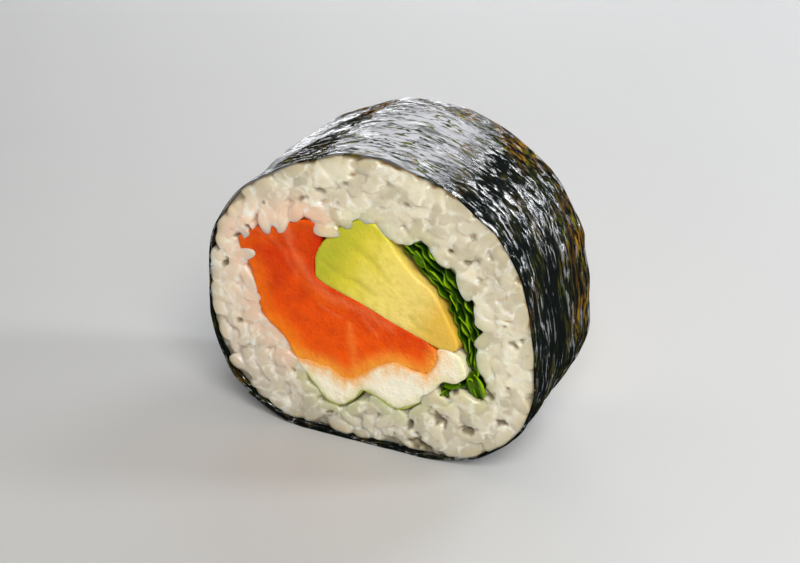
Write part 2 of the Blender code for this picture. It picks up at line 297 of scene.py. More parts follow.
class Finish:
    """A material in the making, round one Principled surface."""

    def __init__(self, name, **constants):
        self.material = bpy.data.materials.new(name)
        self.material.use_nodes = True
        self.tree = self.material.node_tree
        self.surface = self.tree.nodes["Principled BSDF"]
        self.set(**constants)

    def node(self, kind, settings=None, values=None, output=0):
        made = self.tree.nodes.new(kind)
        for name, setting in (settings or {}).items():
            if name == "stops":
                self.fill_ramp(made.color_ramp, setting)
            else:
                setattr(made, name, setting)
        for name, value in (values or {}).items():
            self.connect(made.inputs[name], value)
        return Wire(self, made.outputs[output])

    def fill_ramp(self, ramp, stops):
        while len(ramp.elements) < len(stops):
            ramp.elements.new(1.0)
        for element, (position, value) in zip(ramp.elements, stops):
            element.position = position
            element.color = (*value, 1.0) if isinstance(value, tuple) else (value, value, value, 1.0)

    def connect(self, socket, value):
        if isinstance(value, Wire):
            self.tree.links.new(value.socket, socket)
        elif socket.type == "RGBA":
            socket.default_value = (*value, 1.0)
        else:
            socket.default_value = value

    def set(self, **values):
        """Gives the surface's own sockets values or wires. Their names have _ for a space."""
        for name, value in values.items():
            self.connect(self.surface.inputs[name.replace("_", " ")], value)

    def kept(self, name):
        """A number that mark() kept on the vertices."""
        return self.node("ShaderNodeAttribute", {"attribute_name": name}, output=2)

    def stretched(self, where, stretch):
        return self.node("ShaderNodeVectorMath", {"operation": "MULTIPLY"}, {0: where, 1: stretch})

    def place(self, stretch=(1.0, 1.0, 1.0)):
        """The place on the piece in millimetres, stretched if asked."""
        here = self.node("ShaderNodeTexCoord", output=3)
        return self.stretched(here, tuple(axis / MM for axis in stretch))

    def axis(self, where, number):
        """One axis of a place, from 0 for X to 2 for Z."""
        return self.node("ShaderNodeSeparateXYZ", None, {0: where}, output=number)

    def grain(self, where, size, detail=3.0, roughness=0.55):
        """Noise from 0 to 1 with features of a size in millimetres."""
        values = {"Vector": where, "Scale": 1.0 / size, "Detail": detail, "Roughness": roughness}
        return self.node("ShaderNodeTexNoise", None, values)

    def ramp(self, factor, *stops):
        """A number taken through stops, each a position with a number or a colour."""
        return self.node("ShaderNodeValToRGB", {"stops": stops}, {"Fac": factor})

    def rise(self, factor, start=0.0, end=1.0):
        """A number taken from 0 at start to 1 at end."""
        return self.ramp(factor, (start, 0.0), (end, 1.0))

    def blend(self, share, first, second):
        """A second colour over a first one by a share from 0 to 1."""
        settings = {"data_type": "RGBA", "blend_type": "MIX", "clamp_factor": True}
        return self.node("ShaderNodeMix", settings, {0: share, 6: first, 7: second}, output=2)

    def layered(self, body, *layers):
        """Lays colours over a body one by one, each by its own share."""
        for share, over in layers:
            body = self.blend(share, body, over)
        return body

    def relief(self, height, depth):
        """Roughens the surface by a height from 0 to 1 that stands for a depth in millimetres."""
        values = {"Height": height, "Distance": depth * MM, "Strength": 1.0}
        bump = self.node("ShaderNodeBump", None, values)
        self.set(Normal=bump)
        return bump

    def wetted(self, share, **values):
        """Lays a second surface, made with its own values, over the first by a share from 0 to 1."""
        dry = Wire(self, self.surface.outputs[0])
        self.surface = self.tree.nodes.new("ShaderNodeBsdfPrincipled")
        self.set(**values)
        wet = Wire(self, self.surface.outputs[0])
        both = self.node("ShaderNodeMixShader", None, {0: share, 1: dry, 2: wet})
        self.connect(self.tree.nodes["Material Output"].inputs["Surface"], both)


def dressed(piece, finish, *nodes):
    """Finishes a piece: its material, smooth shading, its body and the frame nodes it stands for."""
    piece.data.materials.clear()
    piece.data.materials.append(finish.material)
    piece.data.shade_smooth()
    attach(piece, "root")
    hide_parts(*nodes)
    piece.data.calc_loop_triangles()
    print(piece.name, "has", len(piece.data.loop_triangles), "triangles")


# %% [markdown]
# ## The seaweed sheet
#
# Nori is a thin, brittle sheet. Rolled round warm rice it softens and shrinks, so it crinkles into
# fine creases that run round the roll, and it laps over its own edge underneath. The frame's sheet
# has the true path, so rays from the roll's middle find it, and a fine grid follows the path. Real
# relief is worth its points here, because glossy creases are what the eye sees of nori.

# %% Follow the sheet
LAP_START = 262.0              # degrees anticlockwise from +X to the sheet's hidden edge
LAP_ANGLE = 40.0
END_TRIM = 0.3                 # degrees that the grid stops short of each end of the path
SHEET_STEPS = 620
SHEET_ROWS = 66
SHEET_THICKNESS = 0.27
FACET_BLUR = 5                 # steps over which the frame's flat facets are rounded off


def sheet_radius(turned):
    """The sheet's outer radius, by degrees turned clockwise from its hidden edge."""
    hits = through_sheet(math.radians(LAP_START - turned))
    outermost = hits[1] if turned < LAP_ANGLE else hits[-1]
    return (outermost / MM - Vector(ROLL_MIDDLE)).length


def lengths_along(line):
    """How far along a line each of its points is."""
    return np.concatenate([[0.0], np.cumsum(np.linalg.norm(np.diff(line, axis=0), axis=1))])


def square_to(line):
    """Unit vectors square to a line in the section, on its left."""
    heading = np.gradient(line, axis=0)
    heading /= np.linalg.norm(heading, axis=1)[:, None]
    return np.stack([-heading[:, 1], heading[:, 0]], axis=1)


turned = np.linspace(END_TRIM, 360.0 + LAP_ANGLE - END_TRIM, SHEET_STEPS)
radii = np.array([sheet_radius(turn) for turn in turned])
window = np.hanning(2 * FACET_BLUR + 3)[1:-1]
padded = np.pad(radii, FACET_BLUR, mode="edge")
radii = np.convolve(padded, window / window.sum(), mode="valid")
headings = np.radians(LAP_START - turned)
path = np.stack([np.cos(headings), np.sin(headings)], axis=1) * radii[:, None]
along = lengths_along(path)
outward = square_to(path)
print("the sheet is", round(along[-1]), "mm long and", round(float(radii.max() * 2)), "mm across")

# %% [markdown]
# The creases are ridged noise, drawn out along the roll's turn. Broad, shallow waves sit under them,
# and down the sides the slack gathers in long pleats. The sheet lies flat on the table, so what
# would sink below it is pressed level.

# %% Crease the sheet
CREASE_LENGTH = 13.0
CREASE_WIDTH = 1.5
CREASE_DEPTH = 0.26
WAVE_SIZE = (7.0, 4.5)
WAVE_DEPTH = 0.4
PLEAT_LENGTH = 24.0
PLEAT_WIDTH = 2.6
PLEAT_DEPTH = 0.42
EDGE_INSET = 0.05
EDGE_WAVER = 0.12
LOWEST = 0.01                  # no point of the sheet's outside is lower than this


def creases(s, y):
    """Height of the sheet's fine creases at a place on it."""
    sway = 0.7 * rough(s / 17.0, y / 9.0, 2.0)
    spot = Vector((s / CREASE_LENGTH, y / CREASE_WIDTH + sway, 0.0))
    return noise.ridged_multi_fractal(spot, 0.9, 2.1, 3, 0.9, 1.6) * 0.5 - 0.5


def waves(s, y):
    return rough(s / WAVE_SIZE[0], y / WAVE_SIZE[1], 7.0)


def pleats(s, y):
    """Long folds with sharp crests at 0 and hollows at about -1."""
    sway = 0.9 * rough(s / 19.0, 5.0, y / 14.0)
    return -min(1.0, 2.4 * abs(rough(s / PLEAT_LENGTH, y / PLEAT_WIDTH + sway, 11.0)))


def over_sheet(height):
    """What a function of a place on the sheet gives at each point of its grid."""
    return np.array([[height(s, y * CUT) for y in rows] for s in along])


rows = np.linspace(-1.0, 1.0, SHEET_ROWS)
round_the_roll = np.degrees(headings) % 360
polish = eased(round_the_roll, 54, 72) * (1 - eased(round_the_roll, 99, 112))
pleated = (0.3 + 0.7 * eased(np.cos(headings), 0.3, 0.8)) * (1 - polish)
relief = CREASE_DEPTH * over_sheet(creases) * (1 - 0.7 * polish)[:, None]
relief += PLEAT_DEPTH * pleated[:, None] * over_sheet(pleats)
relief += WAVE_DEPTH * over_sheet(waves)
waver = EDGE_WAVER * np.array([[rough(s / 3.0, side, 0.0) for side in (-4.0, 4.0)] for s in along])

outer = np.zeros((SHEET_STEPS, SHEET_ROWS, 3))
outer[:, :, 0] = ROLL_MIDDLE[0] + path[:, None, 0] + outward[:, None, 0] * relief
outer[:, :, 2] = ROLL_MIDDLE[2] + path[:, None, 1] + outward[:, None, 1] * relief
outer[:, :, 1] = rows[None, :] * CUT
outer[:, 0, 1] += EDGE_INSET + waver[:, 0]
outer[:, -1, 1] -= EDGE_INSET + waver[:, 1]
outer[:, :, 2] = np.maximum(outer[:, :, 2], LOWEST)
inner = outer.copy()
inner[:, :, 0] -= outward[:, None, 0] * SHEET_THICKNESS
inner[:, :, 2] -= outward[:, None, 1] * SHEET_THICKNESS
print("creases are", round(float(np.ptp(relief)), 2), "mm from hollow to crest")

# %% Join the sheet's two sides
def grid_faces(first, steps, rows, flip=False):
    """Squares of a grid whose vertices start at a number."""
    corner = first + np.arange(steps - 1)[:, None] * rows + np.arange(rows - 1)[None, :]
    corner = corner.ravel()
    order = (corner, corner + 1, corner + rows + 1, corner + rows)
    return np.stack(order[::-1] if flip else order, axis=1)


def rim_faces(near, far):
    """Squares between two rows of vertices of the same length."""
    return np.stack([near[:-1], near[1:], far[1:], far[:-1]], axis=1)


def two_sided(name, front, back):
    """A closed thin sheet between two grids of the same size."""
    steps, rows = front.shape[:2]
    count = steps * rows
    number = np.arange(count).reshape(steps, rows)
    borders = [number[:, 0], number[-1, :], number[::-1, -1], number[0, ::-1]]
    faces = [grid_faces(0, steps, rows, flip=True), grid_faces(count, steps, rows)]
    faces += [rim_faces(border, border + count)[:, ::-1] for border in borders]
    places = np.concatenate([front.reshape(-1, 3), back.reshape(-1, 3)])
    mesh = mesh_of(name, places, np.concatenate(faces))
    shape = opened(mesh)
    bmesh.ops.recalc_face_normals(shape, faces=shape.faces)
    shape.to_mesh(mesh)
    shape.free()
    return mesh

# %% [markdown]
# The finish needs to know where on the roll it is: how far round it, on its pressed top, on its
# upright flanks, where light coming through the sheet is painted into its colour, and on the brow
# at its upper left. The borders of these zones stray, so that no straight line shows.

# %% Mark the sheet's zones
ZONE_WANDER = 14.0             # degrees that a zone's border strays


def both_sides(values):
    """Values on the sheet's grid, for the vertices of its outer and its inner side."""
    return np.tile(np.broadcast_to(values, relief.shape).ravel(), 2)


sheet_mesh = two_sided("seaweed_sheet", outer, inner)
wander = over_sheet(lambda s, y: rough(s / 8.0, y / 4.0, 4.0))
zone = round_the_roll[:, None] + ZONE_WANDER * wander
flank = eased(np.abs(np.cos(headings)), 0.85, 0.99)
shoulder = eased(zone, 94, 110) * (1 - eased(zone, 112, 128))
pressed = polish[:, None] * (1 - 0.6 * shoulder) * (1 - 0.2 * eased(wander, 0.1, 0.5))
frayed = 1 - 0.75 * eased(rows * CUT, 7.0, 12.5)
far_edge = eased(rows * CUT, 0.0, 12.0)[None, :] * eased(np.sin(headings + 0.7), 0.0, 0.5)[:, None]
# far_edge and the shoulder make the thin mark, where the finish paints light coming through the sheet as
# stronger, warmer flecks.
mark(sheet_mesh,
     reach=both_sides(np.cumsum(np.gradient(along) * (1 - 0.5 * flank))[:, None]),
     polish=both_sides(pressed * frayed),
     flank=both_sides(flank[:, None]),
     thin=both_sides(np.maximum(far_edge, 0.6 * shoulder)),
     brow=both_sides(eased(zone, 115, 129) * (1 - eased(zone, 145, 170))))
seaweed_sheet = add_object("seaweed_sheet", sheet_mesh)
sheet_wall = BVHTree.FromBMesh(opened(sheet_mesh))
print("the sheen covers", round(float((pressed * frayed > 0.5).mean() * 100)), "% of the sheet")


def room_in_sheet(places):
    """How far each place is inside the seaweed as it is creased here."""
    room = []
    for x, y, z in places:
        start = Vector((ROLL_MIDDLE[0], min(max(y, 0.5 - CUT), CUT - 0.5), ROLL_MIDDLE[2])) * MM
        away = Vector((x - ROLL_MIDDLE[0], 0.0, z - ROLL_MIDDLE[2]))
        hit = sheet_wall.ray_cast(start, away)[0]
        room.append((hit - start).length / MM - away.length)
    return np.array(room)

# %% [markdown]
# Nori is almost black, and light finds its colour only where it is thin: flecks of bottle green,
# olive and rust, most of all towards the far edge. That light coming through the sheet is painted
# into its colour, on the far edge and on the shoulder at the upper left. It is glossy on the crests
# and dull in the cracks, so a dry surface and a wet one are mixed by a share that follows streaks,
# folds and small crumples. The roll's top is pressed smooth: only short slits and thin cracks with
# some green in them break the sheen. Down the sides it falls apart into streaks that follow the
# roll's turn. Both surfaces share one relief, which a coat wouldn't.

# %% Seaweed finish
finish = Finish("seaweed", Specular_IOR_Level=0.0)
spot = finish.node("ShaderNodeCombineXYZ", None,
                   {0: finish.kept("reach"), 1: finish.axis(finish.place(), 1)})


def drawn(share, size, detail=3.0, roughness=0.55):
    """Noise that is drawn out along the roll's turn."""
    return finish.grain(finish.stretched(spot, (share, 1.0, 1.0)), size, detail, roughness)


polish = finish.kept("polish")
brow = finish.kept("brow")
thin = finish.kept("thin")
streaks = drawn(0.24, 0.64, 4.0, 0.68)
folds = drawn(0.2, 2.6, 2.0)
crumple = finish.node("ShaderNodeTexVoronoi", {"feature": "F1"},
                      {"Vector": finish.stretched(spot, (0.55, 1.0, 1.0)), "Scale": 1 / 0.9})
level = drawn(0.24, 2.8, roughness=0.68)
thin_cracks = finish.ramp(level, (0.472, 0.0), (0.486, 1.0), (0.504, 1.0), (0.518, 0.0))
thin_cracks = thin_cracks * finish.ramp(drawn(0.5, 4.0, 2.0), (0.38, 0.4), (0.52, 1.0))
slits = finish.ramp(drawn(0.28, 0.8, 1.5, 0.5), (0.355, 1.0), (0.385, 0.0))
cracks = 1 - (1 - thin_cracks) * (1 - slits)
patches = finish.rise(finish.grain(spot, 7.0, 2.0), 0.47, 0.66)
flecks = finish.rise(drawn(0.32, 0.8, roughness=0.72), 0.47, 0.68)
dull = finish.rise(drawn(0.6, 6.5, roughness=0.6), 0.48, 0.6)
hue = finish.ramp(finish.grain(spot, 5.0, 2.0) + 0.14 * thin * thin * (1 - polish) - 0.1 * polish,
                  (0.36, (0.02, 0.05, 0.012)),
                  (0.5, (0.16, 0.17, 0.014)),
                  (0.63, (0.30, 0.15, 0.016)))
base = finish.blend(streaks, (0.002, 0.003, 0.003), (0.008, 0.010, 0.009))
# The flecks' share: their own colour everywhere, painted light coming through the sheet on the thin mark,
# and olive in the pressed top's cracks.
flecks_and_painted_glow = (0.6 * patches + 1.2 * thin * (0.3 + 0.7 * patches)) * flecks + 0.55 * cracks * polish
finish.set(Base_Color=finish.blend(flecks_and_painted_glow, base, hue), Roughness=0.55 + 0.2 * cracks)
height = 0.4 * streaks + 0.9 * folds + 0.42 * crumple
creased = finish.relief(height * (1 - 0.89 * polish) * (1 - 0.8 * brow) - 0.015 * cracks, 1.15)
lift = 0.52 * polish + 0.5 * brow - 0.08 * dull
cover = streaks + 0.5 * folds + 0.3 * crumple - 0.9 + lift - 0.075 * finish.kept("flank")
spared = (1 - 0.97 * cracks * (1 - 0.5 * brow)) * (1 - 0.4 * dull * (1 - brow) * (1 - 0.6 * polish))
finish.wetted(finish.rise(cover * 14.0) * spared, Base_Color=base, IOR=2.45, Specular_IOR_Level=1.0,
              Roughness=0.15 + 0.14 * polish + 0.12 * brow, Normal=creased)
dressed(seaweed_sheet, finish, "nori")

# %% [markdown]
# ## The fillings' common ground
#
# The fillings drift a little between the two cut faces, as they do under a mat. Marks that run
# through a filling, such as the fat in the fish, are drawn once on the shown face. These helpers
# take a place anywhere in the roll back to where it lies on that face, and the other way.

# %% Follow the drift
DRIFT_TURN = -9.0              # degrees from the shown face to the far one
DRIFT_SHIFT = (1.0, -0.7)
DRIFT_REACH = 27.0


def drift(right, above, y):
    """The turn and the two shifts that the drift has reached at places."""
    fade = np.clip(1 - (np.hypot(right, above) / DRIFT_REACH) ** 4, 0.0, 1.0)
    share = (y / (2 * CUT) + 0.5) * fade
    return np.radians(DRIFT_TURN) * share, DRIFT_SHIFT[0] * share, DRIFT_SHIFT[1] * share


def drifted(x, z, y):
    """Where a point of the shown face lies further along the roll."""
    right = x - ROLL_MIDDLE[0]
    above = z - ROLL_MIDDLE[2]
    turn, shift_right, shift_up = drift(right, above, y)
    right, above = turned_by(right, above, turn)
    return right + shift_right + ROLL_MIDDLE[0], above + shift_up + ROLL_MIDDLE[2]


def on_shown_face(places):
    """X and Z on the shown face of the line through the filling that each place is on."""
    right = places[:, 0] - ROLL_MIDDLE[0]
    above = places[:, 2] - ROLL_MIDDLE[2]
    turn, shift_right, shift_up = drift(right, above, places[:, 1])
    right, above = turned_by(right - shift_right, above - shift_up, -turn)
    return np.stack([right + ROLL_MIDDLE[0], above + ROLL_MIDDLE[2]], axis=1)


def close_to(line, points, width):
    """1 on an open line of the shown face, and less with the distance from it."""
    line = np.array(line, float)
    start = line[None, :-1]
    step = line[None, 1:] - start
    offset = points[:, None] - start
    share = np.clip((offset * step).sum(2) / (step ** 2).sum(2), 0.0, 1.0)
    distance = np.linalg.norm(offset - step * share[:, :, None], axis=2).min(axis=1)
    return np.exp(-(distance / width) ** 2)


def near(places, node, start, end):
    """1 within a first distance of a node's skin, 0 beyond a second one."""
    return 1 - eased(gap(places, node), start, end)


# %% [markdown]
# Salmon, avocado and cheese are cut with one stroke of the knife, so each is a block with soft
# edges. The block starts as the frame's solid. It swells a little to close the clearance that the
# solids keep, its edges are rounded by smoothing, and its skin gets the lumps of its own kind. Fish
# and cheese swell more, because one is pressed into the other and no groove shows between them.

# %% Soft blocks
FILLING_VOXEL = 0.34
SWELL = 0.3
FACE_DROP = 0.2                # how far the fillings' cut faces lie behind the rice's
EDGE_DROP = 0.32               # how much further they round off under the rice


def soft_block(name, node, rounding, lump_size, lump_depth, seed, face_drop=FACE_DROP, swell=SWELL):
    piece = even_skin(name, written(welded(node), name), FILLING_VOXEL)
    edges = read_edges(piece.data)
    places = smoothed(read_places(piece.data), edges, rounding)
    write_places(piece.data, places)
    depth = swell + lump_depth * lumps(places, lump_size, seed)
    depth += 0.35 * lump_depth * lumps(places, lump_size * 0.4, seed + 1)
    places = places + read_normals(piece.data) * depth[:, None]
    drop = face_drop + EDGE_DROP * near(places, "rice", 0.0, 1.4)
    limit = CUT - drop + 0.12 * lumps(places, 3.5, seed + 2)
    places[:, 1] = np.clip(places[:, 1], -limit, limit)
    write_places(piece.data, smoothed(places, edges, 1))
    return piece


# %% [markdown]
# ## Salmon
#
# Raw salmon is a saturated orange red, deepest where it is thick and glowing yellow orange at thin
# edges, where light comes through. That glow, and a lighter orange low on the face, are painted
# into the colour. Pale lines of fat cross it. Each line is given by its width, its strength and the
# points that it passes on the shown face.

# %% Salmon block
FAT_LINES = (
    (0.9, 1.0, ((-15.6, 42.0), (-14.4, 36.6), (-12.2, 32.6), (-9.8, 29.9), (-6.9, 28.2), (-3.1, 27.4),
                (0.6, 26.4), (4.6, 24.8))),
    (0.45, 0.5, ((-21.8, 38.6), (-18.4, 37.4), (-15.6, 35.2), (-13.4, 30.6))),
    (0.35, 0.9, ((-0.6, 25.6), (0.6, 24.0), (1.6, 22.8))),
    (0.3, 0.8, ((-9.4, 26.2), (-6.6, 24.9), (-4.8, 24.4))),
)
SPLIT_LINE = ((-3.2, 23.4), (-2.9, 20.4), (-2.6, 15.6), (-2.5, 10.9))
SPLIT_WIDTH = 0.8
LINE_WOBBLE = 0.5              # how far noise moves the lines, which are smooth otherwise

salmon_block = soft_block("salmon_block", "salmon", 2, 2.6, 0.18, 3, swell=0.45)
places = read_places(salmon_block.data)
wobble = np.stack([lumps(places, 2.2, 21), lumps(places, 2.2, 22)], axis=1)
shown = on_shown_face(places) + LINE_WOBBLE * wobble
fat = np.max([share * close_to(line, shown, width) for width, share, line in FAT_LINES], axis=0)
mark(salmon_block.data, fat=fat, split=close_to(SPLIT_LINE, shown, SPLIT_WIDTH),
     by_rice=near(places, "rice", 0.2, 5.0), by_avocado=near(places, "avocado", 0.3, 4.0),
     by_cheese=near(places, "cream_cheese", 0.2, 3.8))
print("fat covers", round(float((fat > 0.5).mean() * 100)), "% of the salmon")

# %% Salmon finish
finish = Finish("salmon", Specular_IOR_Level=0.08, Coat_Roughness=0.08, Coat_Weight=0.04,
                Subsurface_Weight=0.3, Subsurface_Scale=0.001, Subsurface_Radius=(1.0, 0.25, 0.05))
where = finish.place()
fibres = finish.grain(finish.place((1.0, 0.3, 1.0)), 0.7, 4.0, 0.65)
clouds = finish.grain(where, 3.2)
specks = finish.rise(finish.grain(finish.place((1.0, 0.3, 1.6)), 0.4, 2.0), 0.62, 0.72)
# sunk rises low on the face, where the flesh is painted a lighter orange; glow is painted light coming
# through the thin flesh by the rice.
sunk = finish.rise((38.0 - finish.axis(where, 2)) / 22.0)
glow = finish.kept("by_rice") * (1 - finish.kept("by_avocado")) * (0.3 + 0.7 * sunk)
flesh = finish.layered(
    finish.blend(finish.rise(clouds, 0.3, 0.7), (0.53, 0.016, 0.0), (0.75, 0.050, 0.0)),
    (sunk * (0.4 + 0.75 * clouds), (1.0, 0.125, 0.002)),
    (glow * (0.35 + clouds), (1.0, 0.26, 0.01)),
    (finish.kept("by_cheese") * (0.2 + 1.1 * clouds), (1.0, 0.42, 0.05)),
    (finish.kept("split") * 0.4, (1.0, 0.30, 0.04)),
    (finish.kept("by_avocado") * 0.35, (0.66, 0.03, 0.001)),
    (finish.kept("fat") * (0.15 + fibres) * 0.6, (0.94, 0.24, 0.08)),
    (specks * 0.4, (1.0, 0.28, 0.09)))
finish.set(Base_Color=flesh, Roughness=0.2 + 0.3 * fibres)
finish.relief(fibres + 0.8 * clouds, 0.28)
dressed(salmon_block, finish, "salmon")

# %% [markdown]
# ## Avocado
#
# A ripe wedge goes from green under its skin to butter yellow at the stone. Here the green side
# is at the left and top of the wedge. The colour is one gradient across the section with a little
# noise, and the wedge's own edges stay lighter and greener, as bruised flesh does.

# %% Avocado wedge
GREEN_SIDE = np.array([-7.0, 36.0])
YELLOW_SIDE = np.array([13.0, 26.0])
FOLD_LINES = (
    ((-8.4, 34.6), (-5.6, 32.9), (-2.0, 32.2), (1.5, 30.4)),
    ((-2.0, 38.5), (1.5, 36.5), (3.5, 34.0)),
    ((8.0, 27.6), (9.6, 26.0), (11.8, 25.4)),
)
FOLD_WIDTH = 0.5
FOLD_DEPTH = 0.12

avocado_wedge = soft_block("avocado_wedge", "avocado", 3, 4.0, 0.18, 5)
places = read_places(avocado_wedge.data)
shown = on_shown_face(places)
to_yellow = YELLOW_SIDE - GREEN_SIDE
ripeness = (shown - GREEN_SIDE) @ to_yellow / np.sum(to_yellow ** 2)
folds = np.max([close_to(line, shown, FOLD_WIDTH) for line in FOLD_LINES], axis=0)
mark(avocado_wedge.data, ripeness=np.clip(ripeness, 0, 1), fold=folds,
     by_rice=near(places, "rice", 0.2, 2.2), by_lettuce=near(places, "lettuce", 0.4, 2.0))
normals = read_normals(avocado_wedge.data)
write_places(avocado_wedge.data, places - normals * (FOLD_DEPTH * folds)[:, None])
print("the wedge is", round(float(np.ptp(places[:, 0]))), "mm wide")

# %% Avocado finish
finish = Finish("avocado", Specular_IOR_Level=0.3, Coat_Roughness=0.25, Coat_Weight=0.2,
                Subsurface_Weight=0.35, Subsurface_Scale=0.001, Subsurface_Radius=(1.0, 0.9, 0.3))
where = finish.place()
butter = finish.grain(where, 3.0)
fine = finish.grain(where, 0.5)
bruise = finish.rise(finish.grain(where, 1.7), 0.46, 0.64)
by_lettuce = finish.kept("by_lettuce")
flesh = finish.layered(
    finish.ramp(finish.kept("ripeness") + 0.3 * butter - 0.15,
                (0.0, (0.48, 0.49, 0.015)),
                (0.2, (0.72, 0.62, 0.035)),
                (0.42, (0.90, 0.75, 0.15)),
                (0.75, (0.90, 0.69, 0.19)),
                (1.0, (0.80, 0.50, 0.07))),
    (bruise * 0.3, (0.60, 0.47, 0.03)),
    (finish.kept("fold") * 0.45, (0.56, 0.46, 0.03)),
    (by_lettuce * 0.4, (0.80, 0.46, 0.04)),
    (finish.kept("by_rice") * (1 - by_lettuce) * 0.35, (0.50, 0.52, 0.03)))
finish.set(Base_Color=flesh, Roughness=0.34 + 0.16 * fine)
finish.relief(fine + butter, 0.14)
dressed(avocado_wedge, finish, "avocado")

# %% [markdown]
# ## Cream cheese
#
# The cheese was spread with a spoon and squeezed by the roll, so it is lumpier than the rest and
# picks up orange from the fish. It is matte and almost white.

# %% Cream cheese
cheese_smear = soft_block("cheese_smear", "cream_cheese", 2, 1.7, 0.34, 8, face_drop=0.08, swell=0.6)
places = read_places(cheese_smear.data)
# by_leaf is for painted shade next to the leaves: the finish darkens the cheese there, tinted green.
leaf_gap = np.minimum(gap(places, "lettuce_strip"), gap(places, "lettuce") - 0.8)
mark(cheese_smear.data, by_salmon=near(places, "salmon", 0.1, 4.2), by_leaf=1 - eased(leaf_gap, 0.1, 1.8))

# %% Cream cheese finish
finish = Finish("cream_cheese", Specular_IOR_Level=0.4,
                Subsurface_Weight=0.5, Subsurface_Scale=0.0012, Subsurface_Radius=(1.0, 0.8, 0.55))
where = finish.place()
curds = finish.grain(where, 1.4, 4.0)
fine = finish.grain(where, 0.35, 2.0)
smears = finish.ramp(finish.grain(finish.place((1.0, 1.0, 0.4)), 1.6), (0.34, 0.2), (0.6, 1.0))
by_salmon = finish.kept("by_salmon")
body = finish.layered(
    finish.blend(curds, (1.0, 0.87, 0.65), (1.0, 0.93, 0.80)),
    (by_salmon * smears * 0.9, (1.0, 0.48, 0.12)),
    (finish.rise(by_salmon, 0.9, 1.0) * 0.8, (1.0, 0.34, 0.05)),
    # Painted shade, tinted green, next to the leaves.
    (finish.kept("by_leaf") * 0.6, (0.72, 0.70, 0.38)))
finish.set(Base_Color=body, Roughness=0.42 + 0.2 * fine)
finish.relief(curds + 0.15 * fine, 0.35)
dressed(cheese_smear, finish, "cream_cheese")

# %% [markdown]
# ## Lettuce
#
# One leaf is crammed in to and fro between the avocado and the rice. At the cut it shows as thin,
# bright rims with darkness between them, and its ruffled edge flops over so that some of the leaf's
# face can be seen. The rims are its paler cut edge with a painted highlight, and the darkness is
# painted shade on the leaf further behind the cut. A long folded line, swept along the roll as a
# grid, makes the leaf. Its ruffles grow towards the cut, and the rim wanders in and out.

# %% Folded leaf
LEAF_THICKNESS = 0.34
LEAF_FOLDS = 4
LEAF_STEP = 0.3
LEAF_ROWS = 34
AVOCADO_SIDE = ((6.2, 40.0), (9.5, 36.7), (13.2, 33.7), (16.0, 28.9), (17.6, 24.5), (18.6, 20.3))
RICE_SIDE = ((10.0, 42.3), (13.2, 38.0), (17.1, 33.5), (19.4, 28.7), (20.5, 23.5), (21.4, 18.9))
LEAF_CURL = (
    (22.0, 16.3), (21.4, 14.2), (20.3, 14.1), (20.0, 15.9), (19.8, 17.7), (18.9, 17.8),
    (18.7, 16.1), (17.7, 15.5), (15.9, 16.1), (14.3, 15.6), (14.0, 13.9), (15.2, 12.7),
)


def smooth_line(knots, per_span):
    """Points of a smooth open line through the knots."""
    knots = np.array(knots, float)
    points = []
    for i in range(len(knots) - 1):
        start, end = knots[i], knots[i + 1]
        before = knots[i - 1] if i > 0 else 2 * start - end
        after = knots[i + 2] if i + 2 < len(knots) else 2 * end - start
        for t in np.arange(per_span) / per_span:
            points.append(0.5 * (2 * start + (end - before) * t
                                 + (2 * before - 5 * start + 4 * end - after) * t ** 2
                                 + (3 * start - before - 3 * end + after) * t ** 3))
    points.append(knots[-1])
    return np.array(points)


def even_line(points, step):
    """The same line with its points an even step apart."""
    lengths = lengths_along(points)
    stations = np.linspace(0.0, lengths[-1], round(lengths[-1] / step) + 1)
    return np.stack([np.interp(stations, lengths, points[:, k]) for k in (0, 1)], axis=1)


def folded_line():
    inner_side = smooth_line(AVOCADO_SIDE, 6)
    outer_side = smooth_line(RICE_SIDE, 6)
    line = []
    for fold in range(LEAF_FOLDS):
        share = fold / (LEAF_FOLDS - 1)
        layer = inner_side * (1 - share) + outer_side * share
        line.extend(layer if fold % 2 else layer[::-1])
    return even_line(smooth_line(np.vstack([line, LEAF_CURL]), 4), LEAF_STEP)


leaf_line = folded_line()
print("the leaf is", round(len(leaf_line) * LEAF_STEP), "mm long in the section")


# %% Ruffle the leaf
RUFFLE = 0.62
FLOP = 0.8
RIM_WANDER = 2.2
RIM_INSET = 0.12               # how far the leaf's rim stays behind the cut


def swept_leaf(line, seed):
    """Grids of a leaf's two sides, swept along the roll from a line in the section."""
    stations = np.arange(len(line)) * LEAF_STEP
    side = square_to(line)
    share = np.linspace(-1.0, 1.0, LEAF_ROWS)
    share = np.sign(share) * (1 - (1 - np.abs(share)) ** 1.7)
    middle = np.zeros((len(line), LEAF_ROWS, 3))
    for column, part in enumerate(share):
        end = np.array([rough(s / 2.6, seed, np.sign(part) * 3) for s in stations])
        y = part * (CUT - RIM_INSET - RIM_WANDER * (0.5 + 0.5 * end))
        near_cut = abs(part) ** 6
        ruffle = np.array([rough(s / 1.5, along_y / 3.5, seed) for s, along_y in zip(stations, y)])
        flop = np.array([rough(s / 4.0, seed * 2, np.sign(part)) for s in stations])
        push = RUFFLE * ruffle * (0.55 + 0.45 * near_cut) + FLOP * flop * near_cut
        x, z = drifted(line[:, 0] + side[:, 0] * push, line[:, 1] + side[:, 1] * push, y)
        middle[:, column] = np.stack([x, y, z], axis=1)
    half = np.zeros_like(middle)
    half[:, :, 0] = side[:, None, 0] * LEAF_THICKNESS / 2
    half[:, :, 2] = side[:, None, 1] * LEAF_THICKNESS / 2
    return middle + half, middle - half


front, back = swept_leaf(leaf_line, 4.0)
folded_sheet = two_sided("folded_sheet", front, back)
print("its rim shows at", round(float(np.abs(front[:, :, 1]).max()), 2), "mm from the middle")
